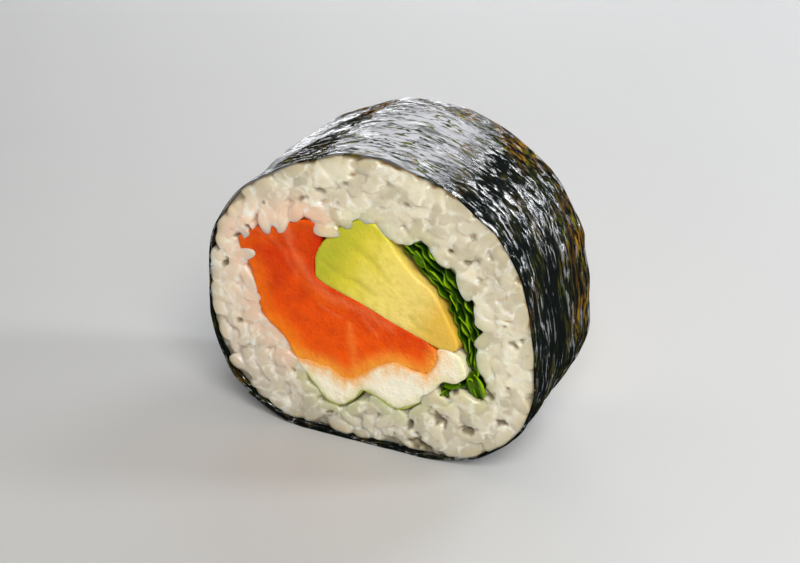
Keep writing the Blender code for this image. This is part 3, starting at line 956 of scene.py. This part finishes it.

# %% [markdown]
# Between the folds the leaf's edge is torn into small lobes that curl towards the viewer, dark
# inside and with a painted highlight along one edge. Each lobe is a small rippled sheet, and the
# same ones are set at both cuts.

# %% Lobes of the leaf's edge
LOBE_STEPS = 13
LOBE_THICKNESS = 0.3
LOBES = (
    (7.2, 40.6, 1.7, 0.9, -40, 50), (9.4, 38.7, 1.6, 0.8, -55, -64), (12.6, 35.9, 1.9, 1.1, -40, 45),
    (15.8, 32.0, 1.5, 0.8, -60, 58), (17.9, 28.3, 1.8, 1.1, -50, 50), (18.8, 24.4, 1.4, 0.7, -85, 62),
    (20.1, 20.2, 1.7, 1.0, -88, 45), (20.2, 16.8, 2.5, 1.6, -75, 12), (15.7, 15.9, 1.6, 0.8, 12, -50),
    (14.3, 13.6, 1.1, 0.6, 65, 40),
)


def lobe(x, z, length, width, turn, lean, side, seed):
    """Grids of the two sides of one curled lobe on a cut face, and how strongly each point takes the
    painted highlight along one edge.
    """
    steps = np.linspace(-1.0, 1.0, LOBE_STEPS)
    u, v = np.meshgrid(steps, steps, indexing="ij")
    ripple = np.array([[rough(a * 1.3, b * 0.8, seed * 3.7) for b in steps] for a in steps])
    across = width * (v * np.sqrt(1.1 - u ** 2) + 0.5 * ripple)
    lean = math.radians(lean)
    curl = 0.5 * width * (v + 0.3) ** 2 - 0.35 * width * u ** 2 + 0.6 * ripple
    right, above = turned_by(u * length, across * math.cos(lean), math.radians(turn))
    y = side * np.minimum(CUT - 1.0 + across * math.sin(lean) + curl, CUT - RIM_INSET)
    placed_x, placed_z = drifted(x + right, z + above, y)
    front = np.stack([placed_x, y, placed_z], axis=2)
    back = front - (0, side * LOBE_THICKNESS, 0)
    return front, back, 0.2 + 0.75 * eased(v, 0.4, 1.0)


leaf_shape = opened(folded_sheet)
lobe_rims = []
for seed, (x, z, length, width, turn, lean) in enumerate(LOBES):
    for side in (-1, 1):
        front, back, lobe_rim = lobe(x, z, length, width, turn, lean, side, seed + 0.5 * side)
        leaf_shape.from_mesh(two_sided("lobe", front, back))
        lobe_rims.append(np.tile(lobe_rim.ravel(), 2))
lettuce_leaf = add_object("lettuce_leaf", written(leaf_shape, "lettuce_leaf"))
height = np.abs(read_places(lettuce_leaf.data)[:, 1])
rim = eased(height, CUT - 1.5, CUT - 0.6)
rim[len(rim) - sum(map(len, lobe_rims)):] = np.concatenate(lobe_rims)
# rim: the leaf's paler cut edge with a painted highlight, and a painted highlight along one edge of each
# lobe; deep: painted shade on the leaf further behind the cut.
mark(lettuce_leaf.data, rim=rim, deep=1 - eased(height, CUT - 4.0, CUT - 1.0))
print("the leaf has", len(lobe_rims), "lobes")

# %% Leaf finishes
def leaf_finish(name, dark, middle_green, bright):
    finish = Finish(name, Specular_IOR_Level=0.12, Coat_Roughness=0.12, Coat_Weight=0.05,
                    Subsurface_Weight=0.2, Subsurface_Scale=0.0005, Subsurface_Radius=(0.5, 1.0, 0.1))
    where = finish.place()
    blotch = finish.grain(where, 1.8)
    fine = finish.grain(where, 0.35, 2.0)
    # The bright colour on the rim is the paler cut edge with a painted highlight; the dark colour on deep
    # is painted shade.
    green = finish.layered(
        finish.blend(blotch, dark, middle_green),
        (finish.kept("rim") * (0.3 + 1.1 * blotch), bright),
        (finish.kept("deep") * 0.8, dark))
    finish.set(Base_Color=green, Roughness=0.28 + 0.2 * fine)
    finish.relief(fine + blotch, 0.1)
    return finish


leaf_green = leaf_finish("lettuce", (0.006, 0.027, 0.0), (0.036, 0.105, 0.0), (0.25, 0.46, 0.0))
dressed(lettuce_leaf, leaf_green, "lettuce")

# %% [markdown]
# A second, paler leaf is pressed flat between the cheese and the rice, and shows only as a thin
# yellow green line. The frame's strip already has its path, so it is divided finely and roughened.

# %% Thin leaf under the cheese
STRIP_CUTS = 3                 # how many times each edge of the strip is divided
STRIP_ROUGHNESS = 0.12

strip_shape = welded("lettuce_strip")
bmesh.ops.subdivide_edges(strip_shape, edges=strip_shape.edges, cuts=STRIP_CUTS, use_grid_fill=True)
bmesh.ops.triangulate(strip_shape, faces=strip_shape.faces)
thin_leaf = add_object("thin_leaf", written(strip_shape, "thin_leaf"))
places = smoothed(read_places(thin_leaf.data), read_edges(thin_leaf.data), 2)
write_places(thin_leaf.data, places)
places = places + read_normals(thin_leaf.data) * (STRIP_ROUGHNESS * lumps(places, 1.3, 31))[:, None]
write_places(thin_leaf.data, places)
height = np.abs(places[:, 1])
# As on the lettuce, rim is the paler cut edge with a painted highlight and deep is painted shade behind
# the cut.
mark(thin_leaf.data, rim=eased(height, CUT - 0.9, CUT - 0.2), deep=1 - eased(height, CUT - 4.0, CUT - 0.8))
strip_green = leaf_finish("lettuce_strip", (0.10, 0.14, 0.015), (0.26, 0.30, 0.04), (0.42, 0.46, 0.08))
dressed(thin_leaf, strip_green, "lettuce_strip")

# %% [markdown]
# ## Rice
#
# Sushi rice is short, plump and sticky. A knife goes through the upper part cleanly and leaves flat,
# glassy grains that melt into each other, while lower down whole grains stand apart. So each cut
# face is a slab of the frame's rice core with grains strewn over it in two layers, all fused by the
# voxel skin, and then shaved level with the cut. Between the two slabs the core stays plain, because
# seaweed and fillings hide it.

# %% One grain
GRAIN_LENGTH = 5.3
GRAIN_WIDTH = 2.75
GRAIN_RINGS = 8
GRAIN_SPOKES = 10


def grain_form():
    """Vertices and faces of one plump grain along X, with a blunter and a sharper end."""
    stations = -np.cos(np.linspace(0.0, math.pi, GRAIN_RINGS + 1))[1:-1]
    girth = (1 - stations ** 2) ** 0.44 * (1 - 0.1 * stations)
    spokes = np.linspace(0.0, 2 * math.pi, GRAIN_SPOKES, endpoint=False)
    rings = [[(t, r * math.cos(a), r * math.sin(a)) for a in spokes] for t, r in zip(stations, girth)]
    places = np.array([(-1.0, 0.0, 0.0)] + [point for ring in rings for point in ring] + [(1.0, 0.0, 0.0)])
    faces = []
    for k in range(GRAIN_SPOKES):
        after = (k + 1) % GRAIN_SPOKES
        faces.append((0, 1 + after, 1 + k))
        for ring in range(len(rings) - 1):
            low = 1 + ring * GRAIN_SPOKES
            high = low + GRAIN_SPOKES
            faces.append((low + k, low + after, high + after))
            faces.append((low + k, high + after, high + k))
        last = 1 + (len(rings) - 1) * GRAIN_SPOKES
        faces.append((last + k, last + after, len(places) - 1))
    return places * (GRAIN_LENGTH / 2, GRAIN_WIDTH / 2, GRAIN_WIDTH / 2), np.array(faces)


grain_places, grain_faces = grain_form()
print("one grain has", len(grain_faces), "triangles before it is fused")

# %% [markdown]
# Grains are strewn by trying random places and keeping those that are far enough from the grains
# already there, clear of the seaweed, and only just over a filling's edge. The lower left is left
# loose, most of all towards the seaweed: its grains lie deeper and are hardly shaved. Some grains of
# the shown face bulge over the fish and the avocado, so they are listed and placed first.

# %% Strew the grains
FILLINGS = ("salmon", "avocado", "cream_cheese", "lettuce", "lettuce_strip")
TRIES = 9000
SPINE_SAMPLES = (-1.6, -0.8, 0.0, 0.8, 1.6)
SPINE_DEPTH = 1.6              # how far behind the cut a grain's spine is tested for room
PROUD_GRAINS = (
    (-7.4, 40.9, 0.05), (-4.6, 43.6, 2.6), (-12.9, 43.4, 1.0), (-15.8, 40.9, 1.35), (-19.4, 39.6, 1.85),
    (-22.8, 40.2, 1.1),
)


def looseness(x, z):
    """0 where the knife leaves the rice flat, 1 where whole grains stand apart."""
    low_left = -0.6 * (z - ROLL_MIDDLE[2]) - 0.28 * (x - ROLL_MIDDLE[0])
    return eased(low_left, 5.0, 18.0) * (1 - 0.65 * eased(room_in_roll(x, z), 2.5, 7.0))


def spine(x, z, turn, y):
    """Points along the middle of a grain."""
    return [(x + t * math.cos(turn), y, z + t * math.sin(turn)) for t in SPINE_SAMPLES]


def fits(points, overhang, edge_room):
    """Whether a grain with this spine is in the rice, and only just over the fillings."""
    if room_in_roll(points[:, 0], points[:, 2]).min() < edge_room:
        return False
    if min(gap(points, node).min() for node in FILLINGS) < overhang:
        return False
    return inside(points[2], "rice") and not any(inside(points[2], node) for node in FILLINGS)


def strew(side, spacing, overhang, edge_room, placed=()):
    """Places and turns of one layer of grains on a cut face, round those already placed."""
    spots = chance.uniform((lowest[0], lowest[2]), (highest[0], highest[2]), size=(TRIES, 2))
    turns = chance.uniform(0.0, math.pi, TRIES)
    grains = list(placed)
    for (x, z), turn in zip(spots, turns):
        if any(math.hypot(x - grain[0], z - grain[1]) < spacing for grain in grains):
            continue
        if fits(np.array(spine(x, z, turn, side * (CUT - SPINE_DEPTH))), overhang, edge_room):
            grains.append((x, z, turn))
    return grains


def posed_grain(x, z, turn, side, crown):
    """One grain's vertices, with its crown at a height over the cut."""
    tilt = math.radians(chance.normal(0.0, 10.0 + 12.0 * looseness(x, z)))
    size = chance.uniform(0.88, 1.12)
    bend = chance.uniform(-0.05, 0.05)
    local = grain_places * (size, chance.uniform(0.9, 1.08), chance.uniform(0.85, 1.05))
    local[:, 2] += bend * local[:, 0] ** 2
    long_way, out = turned_by(local[:, 0], local[:, 1], tilt)
    right, above = turned_by(long_way, local[:, 2], turn)
    return np.stack([x + right, side * (CUT + crown - GRAIN_WIDTH / 2 + out), z + above], axis=1)


print("a cut face of", round(math.pi * float(round_radii.mean()) ** 2 / 100, 1), "cm2 has room for grains")

# %% Core of a face
SLAB_DEPTH = 2.9               # how far behind the cut a slab of the core ends
CORE_DROP = 1.5                # how far behind the cut it starts
CORE_ROOM = 0.5                # how far the hidden rice stays inside the seaweed
CORE_OVERLAP = 0.3             # how far the plain middle reaches into the slabs
BOX_REACH = 80.0               # how wide and high the box is that cuts the core


def core_slab(near_end, far_end):
    """The frame's rice between two places along the roll, without its grains."""
    core = add_object("core", written(welded("rice"), "core"))
    bounds = bmesh.new()
    bmesh.ops.create_cube(bounds, size=1.0)
    for vert in bounds.verts:
        y = (near_end + far_end) / 2 + vert.co.y * (far_end - near_end)
        vert.co = Vector((vert.co.x * BOX_REACH, y, vert.co.z * BOX_REACH + ROLL_MIDDLE[2])) * MM
    box = add_object("box", written(bounds, "box"))
    cut = core.modifiers.new("cut", "BOOLEAN")
    cut.operation = "INTERSECT"
    cut.solver = "MANIFOLD"
    cut.object = box
    made = evaluated(core)
    for tool in (core, box):
        bpy.data.objects.remove(tool, do_unlink=True)
    return made


def joined(name, core, grains):
    """One mesh of a core and many grains."""
    core.calc_loop_triangles()
    faces = [read(core.loop_triangles, "vertices", 3, int)]
    for number in range(len(grains)):
        faces.append(grain_faces + len(core.vertices) + number * len(grain_places))
    return mesh_of(name, np.concatenate([read_places(core)] + grains), np.concatenate(faces))


# %% [markdown]
# The knife's plane would make the fused grains one blank. What still tells them apart is a shallow
# seam where two grains meet, and that each grain lies a hair higher, lower or more tilted than the
# next. So each point on the face looks up the two grains nearest to it: the difference between the
# two distances is nothing on a seam and grows away from it.

# %% Seams between grains
SEAM_WIDTH = 0.4
SEAM_WANDER = 0.55             # how far noise bends the seams, which would be straight otherwise
FAR_APART = 9.0                # what counts as the distance from a seam where none is found
LOOK_UP = 9                    # how many points of spines near a place are looked up


def grain_seams(places, grains):
    """Each place's own grain, and how far it is from the seam with the next one."""
    points = [spot for x, z, turn in grains for spot in spine(x, z, turn, 0.0)]
    tree = KDTree(len(points))
    for number, spot in enumerate(points):
        tree.insert(spot, number)
    tree.balance()
    owners = np.zeros(len(places), dtype=int)
    apart = np.full(len(places), FAR_APART)
    stray = SEAM_WANDER * np.stack([lumps(places, 1.2, 61), lumps(places, 1.2, 62)], axis=1)
    for row, (x, z) in enumerate(places[:, [0, 2]] + stray):
        found = tree.find_n((x, 0.0, z), LOOK_UP)
        owners[row] = found[0][1] // len(SPINE_SAMPLES)
        for _, index, distance in found:
            if index // len(SPINE_SAMPLES) != owners[row]:
                apart[row] = distance - found[0][2]
                break
    return owners, apart


# %% [markdown]
# Some marks on the shown face are large enough to be known again: pinholes, slits between grains,
# a few pits where a grain has fallen out and a notch at the bottom. Each is an oval named by its
# place, its half length and half width, how far it is turned, and its depth. Its rim is ragged, as
# the grains round it are.

# %% Pits and slits
PITS = (
    (-19.6, 43.4, 0.4, 0.3, 0, 0.5), (-25.1, 19.2, 0.4, 0.3, 0, 0.6), (-7.4, 4.6, 0.5, 0.3, 20, 0.6),
    (27.2, 26.5, 0.9, 0.45, -30, 0.6), (26.2, 18.3, 0.3, 0.25, 0, 0.5), (25.3, 30.0, 0.3, 0.25, 0, 0.4),
    (-8.7, 48.0, 0.9, 0.4, 5, 0.5), (-12.0, 45.9, 1.1, 0.35, 25, 0.5), (-3.7, 50.1, 0.9, 0.5, 10, 0.4),
    (8.3, 6.3, 0.8, 0.5, 60, 0.9), (13.4, 8.7, 1.3, 0.8, -35, 1.1), (18.9, 7.7, 1.2, 0.5, 10, 1.0),
    (25.7, 11.0, 1.2, 0.4, -10, 0.9), (9.9, 2.4, 1.5, 0.9, -10, 1.3), (16.3, 15.1, 1.2, 0.6, -20, 0.8),
    (23.1, 15.7, 1.0, 0.6, -50, 0.9), (-27.7, 30.3, 0.7, 0.4, 40, 0.8), (7.6, 48.6, 0.6, 0.35, -30, 0.4),
    (-25.3, 35.9, 1.0, 0.4, 20, 0.9), (-22.4, 37.9, 0.9, 0.35, -60, 0.9), (20.6, 37.6, 0.6, 0.3, -50, 0.4),
)


def carved(places):
    """How deep the known pits go at each place of the shown face."""
    ragged = np.abs(1 + 0.9 * lumps(places, 1.0, 47))
    depth = np.zeros(len(places))
    for x, z, length, width, turn, deep in PITS:
        u, v = turned_by(places[:, 0] - x, places[:, 2] - z, -math.radians(turn))
        far = np.hypot(u / length, v / width) * ragged
        depth = np.maximum(depth, deep * np.exp(-far ** 2.6))
    return depth


# %% [markdown]
# A face of rice is built in this order: core and grains are fused, the knife shaves them, seams and
# pits are sunk into the cut, and the outermost rice is pressed out to the seaweed.

# %% Build a face of rice
RICE_VOXEL = 0.26
UPPER_SPACING = 2.4
LOWER_SPACING = 1.95
KNIFE_DROP = 0.1               # how far the shaved rice lies behind the roll's end
SHAVE = 0.22                   # how softly the knife's plane rounds off
SOFTEN = 0.55                  # how much the loose grains melt into each other
PRESS = 0.5                    # how far the outermost rice is pressed out to the seaweed
SHEET_GAP = 0.02               # what stays between the rice and the seaweed


def shaved(places, side, loose):
    """Presses the rice level with the knife's plane, which wanders and spares the proud grains."""
    plane = CUT - KNIFE_DROP + 0.08 * lumps(places, 6.0, 41) - 0.15 * loose - SHAVE
    if side < 0:
        for x, z, _ in PROUD_GRAINS:
            plane += 0.4 * np.exp(-((places[:, 0] - x) ** 2 + (places[:, 2] - z) ** 2) / 3.0)
    over = places[:, 1] * side - plane
    level = np.where(over > 0, SHAVE * (1 - np.exp(-np.maximum(over, 0) / SHAVE)), over)
    places[:, 1] = side * (plane + level)
    return places


def pushed_out(places, distance):
    """Moves places away from the roll's middle."""
    away = places[:, [0, 2]] - ROLL_MIDDLE[[0, 2]]
    away /= np.linalg.norm(away, axis=1)[:, None]
    places[:, [0, 2]] += away * distance[:, None]
    return places


def rice_face(name, side):
    """A cut face of rice, as one closed skin, with what its finish needs on every vertex."""
    ends = (side * (CUT - SLAB_DEPTH), side * (CUT - CORE_DROP))
    core = core_slab(min(ends), max(ends))
    upper = strew(side, UPPER_SPACING, 0.35, 1.0, PROUD_GRAINS if side < 0 else ())
    lower = strew(side, LOWER_SPACING, 0.6, 0.75)
    grains = []
    for layer, height, sink, spread in ((upper, 0.7, 0.65, 0.25), (lower, 0.05, 0.75, 0.2)):
        for x, z, turn in layer:
            crown = height - sink * looseness(x, z) + chance.uniform(-spread, spread)
            grains.append(posed_grain(x, z, turn, side, crown))
    piece = even_skin(name, joined(name, core, grains), RICE_VOXEL)
    mesh = piece.data
    edges = read_edges(mesh)
    places = smoothed(read_places(mesh), edges, 2)
    loose = looseness(places[:, 0], places[:, 2])
    places = shaved(places, side, loose)
    places += (SOFTEN * loose)[:, None] * (smoothed(places, edges, 4) - places)
    write_places(mesh, places)

    facing = eased(read_normals(mesh)[:, 1] * side, 0.1, 0.7)
    facing = facing * (1 - eased(CUT - places[:, 1] * side, 1.0, 1.8))
    owners, apart = grain_seams(places, upper)
    seam = np.exp(-apart / SEAM_WIDTH) * eased(lumps(places, 1.9, 43), -0.4, 0.5)
    height = chance.uniform(-0.11, 0.08, len(upper))[owners] * (1 + 0.9 * loose)
    slope = chance.normal(0.0, 0.06, (len(upper), 2))[owners]
    height += (slope * (places[:, [0, 2]] - np.array(upper)[owners][:, :2])).sum(axis=1)
    under_leaf = near(places, "lettuce_strip", 0.4, 3.4)
    # The pits are sunk into the face, and the finish also paints shade in them as dark brown.
    pit = carved(places) if side < 0 else np.zeros(len(places))
    depth = ((0.05 + 0.17 * loose) * seam - height) * (1 - 0.8 * under_leaf) + pit
    places[:, 1] -= side * depth * facing
    places = smoothed(places, edges, 1)
    left = room_in_sheet(places)
    places = pushed_out(places, np.minimum(PRESS * (1 - eased(left, 0.4, 2.0)), left - SHEET_GAP))
    write_places(mesh, places)
    # rim is a painted highlight: a lighter colour just beside each seam between grains.
    rim = np.exp(-((apart - 0.3) / 0.28) ** 2) * eased(lumps(places, 1.5, 53), -0.35, 0.35)
    shade = chance.uniform(0.0, 1.0, len(upper))[owners]
    mark(mesh, rim=rim * facing, pit=np.clip(pit / 0.6, 0, 1), loose=loose, under_leaf=under_leaf,
         shade=smoothed(shade, edges, 2))
    print(name, "has", len(upper), "and", len(lower), "grains")
    return piece


near_rice = rice_face("rice_near_face", -1)
far_rice = rice_face("rice_far_face", 1)

# %% [markdown]
# The finish needs to know three more things that a texture can't tell: how hollow the surface is
# and how deep it lies, where it paints shade, and how near the fish, the greens and the seaweed
# are. Wet rice takes the colour of the fish and the greens, and the rice goes darker and browner
# near the seaweed. The core between the two faces is drawn in a little, so that it stays hidden.

# %% Measure the rice
GREENS = ("avocado", "lettuce", "lettuce_strip")


def measure_rice(piece, side):
    mesh = piece.data
    edges = read_edges(mesh)
    places = read_places(mesh)
    hollow = ((neighbour_mean(places, edges) - places) * read_normals(mesh)).sum(axis=1)
    greens = np.min([gap(places, node) for node in GREENS], axis=0)
    # hollow and sunk are for painted shade: the finish darkens the rice in hollows and deeper behind the
    # cut.
    mark(mesh, hollow=np.clip(smoothed(hollow, edges, 3) / 0.02, 0, 1),
         sunk=eased(CUT - places[:, 1] * side, 0.6, 2.0), by_salmon=near(places, "salmon", 0.0, 8.0),
         by_green=1 - eased(greens, 0.3, 4.0), by_nori=near(places, "nori", 0.2, 2.4))


measure_rice(near_rice, -1)
measure_rice(far_rice, 1)
middle_end = CUT - SLAB_DEPTH + CORE_OVERLAP
rice_middle = add_object("rice_middle", core_slab(-middle_end, middle_end))
places = read_places(rice_middle.data)
short = np.maximum(0.0, CORE_ROOM - room_in_sheet(places))
write_places(rice_middle.data, pushed_out(places, -short))
print("the middle is", round(2 * middle_end, 1), "mm thick")

# %% Rice finish
finish = Finish("rice", Specular_IOR_Level=0.45, Coat_Roughness=0.1,
                Subsurface_Weight=1.0, Subsurface_Scale=0.0035, Subsurface_Radius=(1.0, 0.8, 0.5))
where = finish.place()
milk = finish.grain(where, 2.2)
fine = finish.grain(where, 0.35, 2.0)
flush = finish.kept("by_salmon")
loose = finish.kept("loose")
pit = finish.kept("pit")
whole = finish.rise(finish.kept("shade") * 0.6 + 0.8 * milk - 0.2, 0.15, 0.8)
rosy = finish.rise((-15.0 - finish.axis(where, 0)) / 11.0)
shaded = finish.rise((19.0 - finish.axis(where, 2)) / 18.0)
body = finish.layered(
    finish.blend(whole, (0.55, 0.49, 0.35), (0.84, 0.76, 0.59)),
    # Greyer where the grains lie loose: partly their own translucent grey, partly painted shade at the
    # lower left, most of all near the seaweed.
    (loose * 0.5, (0.58, 0.52, 0.47)),
    (flush * (0.62 + 0.2 * flush * flush), (1.0, 0.58, 0.42)),
    (rosy * 0.4, (0.88, 0.68, 0.53)),
    (shaded * 0.55, (0.44, 0.42, 0.32)),
    (finish.kept("under_leaf") * 0.5, (0.48, 0.52, 0.34)),
    (finish.kept("by_green") * 0.35, (0.64, 0.62, 0.28)),
    (finish.kept("by_nori") * 0.5, (0.62, 0.47, 0.24)),
    # Painted highlight along the grains' rims.
    (finish.kept("rim") * 0.6, (1.0, 0.96, 0.86)),
    # Painted shade in hollows and deeper behind the cut.
    (finish.kept("hollow") * 0.14, (0.50, 0.40, 0.24)),
    (finish.kept("sunk") * (0.5 - 0.35 * loose), (0.34, 0.27, 0.14)),
    # Painted shade in the pits.
    (pit * 0.85, (0.22, 0.17, 0.09)))
finish.set(Base_Color=body, Roughness=0.22 + 0.2 * fine + 0.15 * loose + 0.5 * pit,
           Coat_Weight=(0.5 - 0.4 * loose) * (1 - pit))
finish.relief(milk + 0.5 * fine, 0.16)
for piece in (near_rice, far_rice, rice_middle):
    dressed(piece, finish, "rice")

# %% [markdown]
# ## Table, light and camera
#
# The slice stands on a plain pale table. A broad soft light behind and above it lays the sheen on
# the seaweed's top. One at the back right carries the sheen on over the crest, and a tall narrow one
# at the right picks out the creases down the side. A low one behind draws a bright line along the
# upper left. A soft light in front shows the cut face. The camera stands at the photograph's height
# and angle, with a long lens.

# %% Table
TABLE_SIZE = 3.0
table_shape = bmesh.new()
bmesh.ops.create_grid(table_shape, x_segments=1, y_segments=1, size=TABLE_SIZE / 2)
table_top = add_object("table_top", written(table_shape, "table_top"))
pale = Finish("pale_table", Roughness=0.6, Specular_IOR_Level=0.2)
cloud = pale.grain(pale.place(), 60.0)
pale.set(Base_Color=pale.blend(cloud, (0.455, 0.452, 0.443), (0.48, 0.476, 0.467)))
table_top.data.materials.append(pale.material)
table_top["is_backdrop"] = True

# %% Lights
LIGHT_DISTANCE = 0.6
# Name, bearing and height in degrees, width and height in metres, power, colour.
LIGHTS = (
    ("back_window", 192.0, 33.0, (0.46, 0.3), 1.05, (0.95, 0.95, 1.0)),
    ("back_strip", 157.0, 29.0, (0.24, 0.32), 1.7, (0.93, 0.96, 1.0)),
    ("side_strip", 113.0, 20.0, (0.1, 0.38), 2.4, (0.9, 0.95, 1.0)),
    ("low_left", 211.0, 3.5, (0.36, 0.08), 0.8, (0.96, 0.97, 1.0)),
    ("front_soft", 34.0, 44.0, (0.3, 0.3), 3.9, (1.0, 0.985, 0.95)),
)


def towards(bearing, height):
    """The heading from the roll to what stands at a bearing and a height in degrees."""
    a, e = math.radians(bearing), math.radians(height)
    return Vector((math.sin(a) * math.cos(e), -math.cos(a) * math.cos(e), math.sin(e)))


def looking_back(made, place, away):
    """Puts a light or a camera at a place, looking against a heading."""
    made.location = place
    made.rotation_euler = away.to_track_quat("Z", "Y").to_euler()


for name, bearing, height, size, power, tint in LIGHTS:
    lamp = bpy.data.lights.new(name, "AREA")
    lamp.shape = "RECTANGLE"
    lamp.size, lamp.size_y = size
    lamp.energy = power
    lamp.color = tint
    made = add_object(name, lamp)
    away = towards(bearing, height)
    looking_back(made, hub + away * LIGHT_DISTANCE, away)
    made.visible_camera = False

world = bpy.data.worlds.new("studio")
bpy.context.scene.world = world
world.use_nodes = True
backdrop = world.node_tree.nodes["Background"].inputs
backdrop["Color"].default_value = (0.9, 0.92, 0.95, 1.0)
backdrop["Strength"].default_value = 0.14

# %% Camera
CAMERA_BEARING = 24.9
CAMERA_HEIGHT = 28.11
CAMERA_DISTANCE = 314.8
AIM_RIGHT = 0.02
AIM_UP = -0.15

away = towards(CAMERA_BEARING, CAMERA_HEIGHT)
right = Vector((math.cos(math.radians(CAMERA_BEARING)), math.sin(math.radians(CAMERA_BEARING)), 0.0))
aim = Vector(ROLL_MIDDLE) + right * AIM_RIGHT + away.cross(right) * AIM_UP
lens = bpy.data.cameras.new("camera")
lens.lens = 80.0
lens.sensor_width = 36.0
lens.clip_start = 0.01
camera = add_object("camera", lens)
looking_back(camera, (aim + away * CAMERA_DISTANCE) * MM, away)
bpy.context.scene.camera = camera
bpy.context.scene.view_settings.view_transform = "Standard"

# %% [markdown]
# ## Sizes
#
# The script prints how far each corner of the dressed slice's box lies from the frame's.

# %% Write the sizes and finish
made_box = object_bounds()
for corner, cad_corner in zip(made_box, cad_box):
    print("box corner differs by", [round((a - b) / MM, 2) for a, b in zip(corner, cad_corner)], "mm")
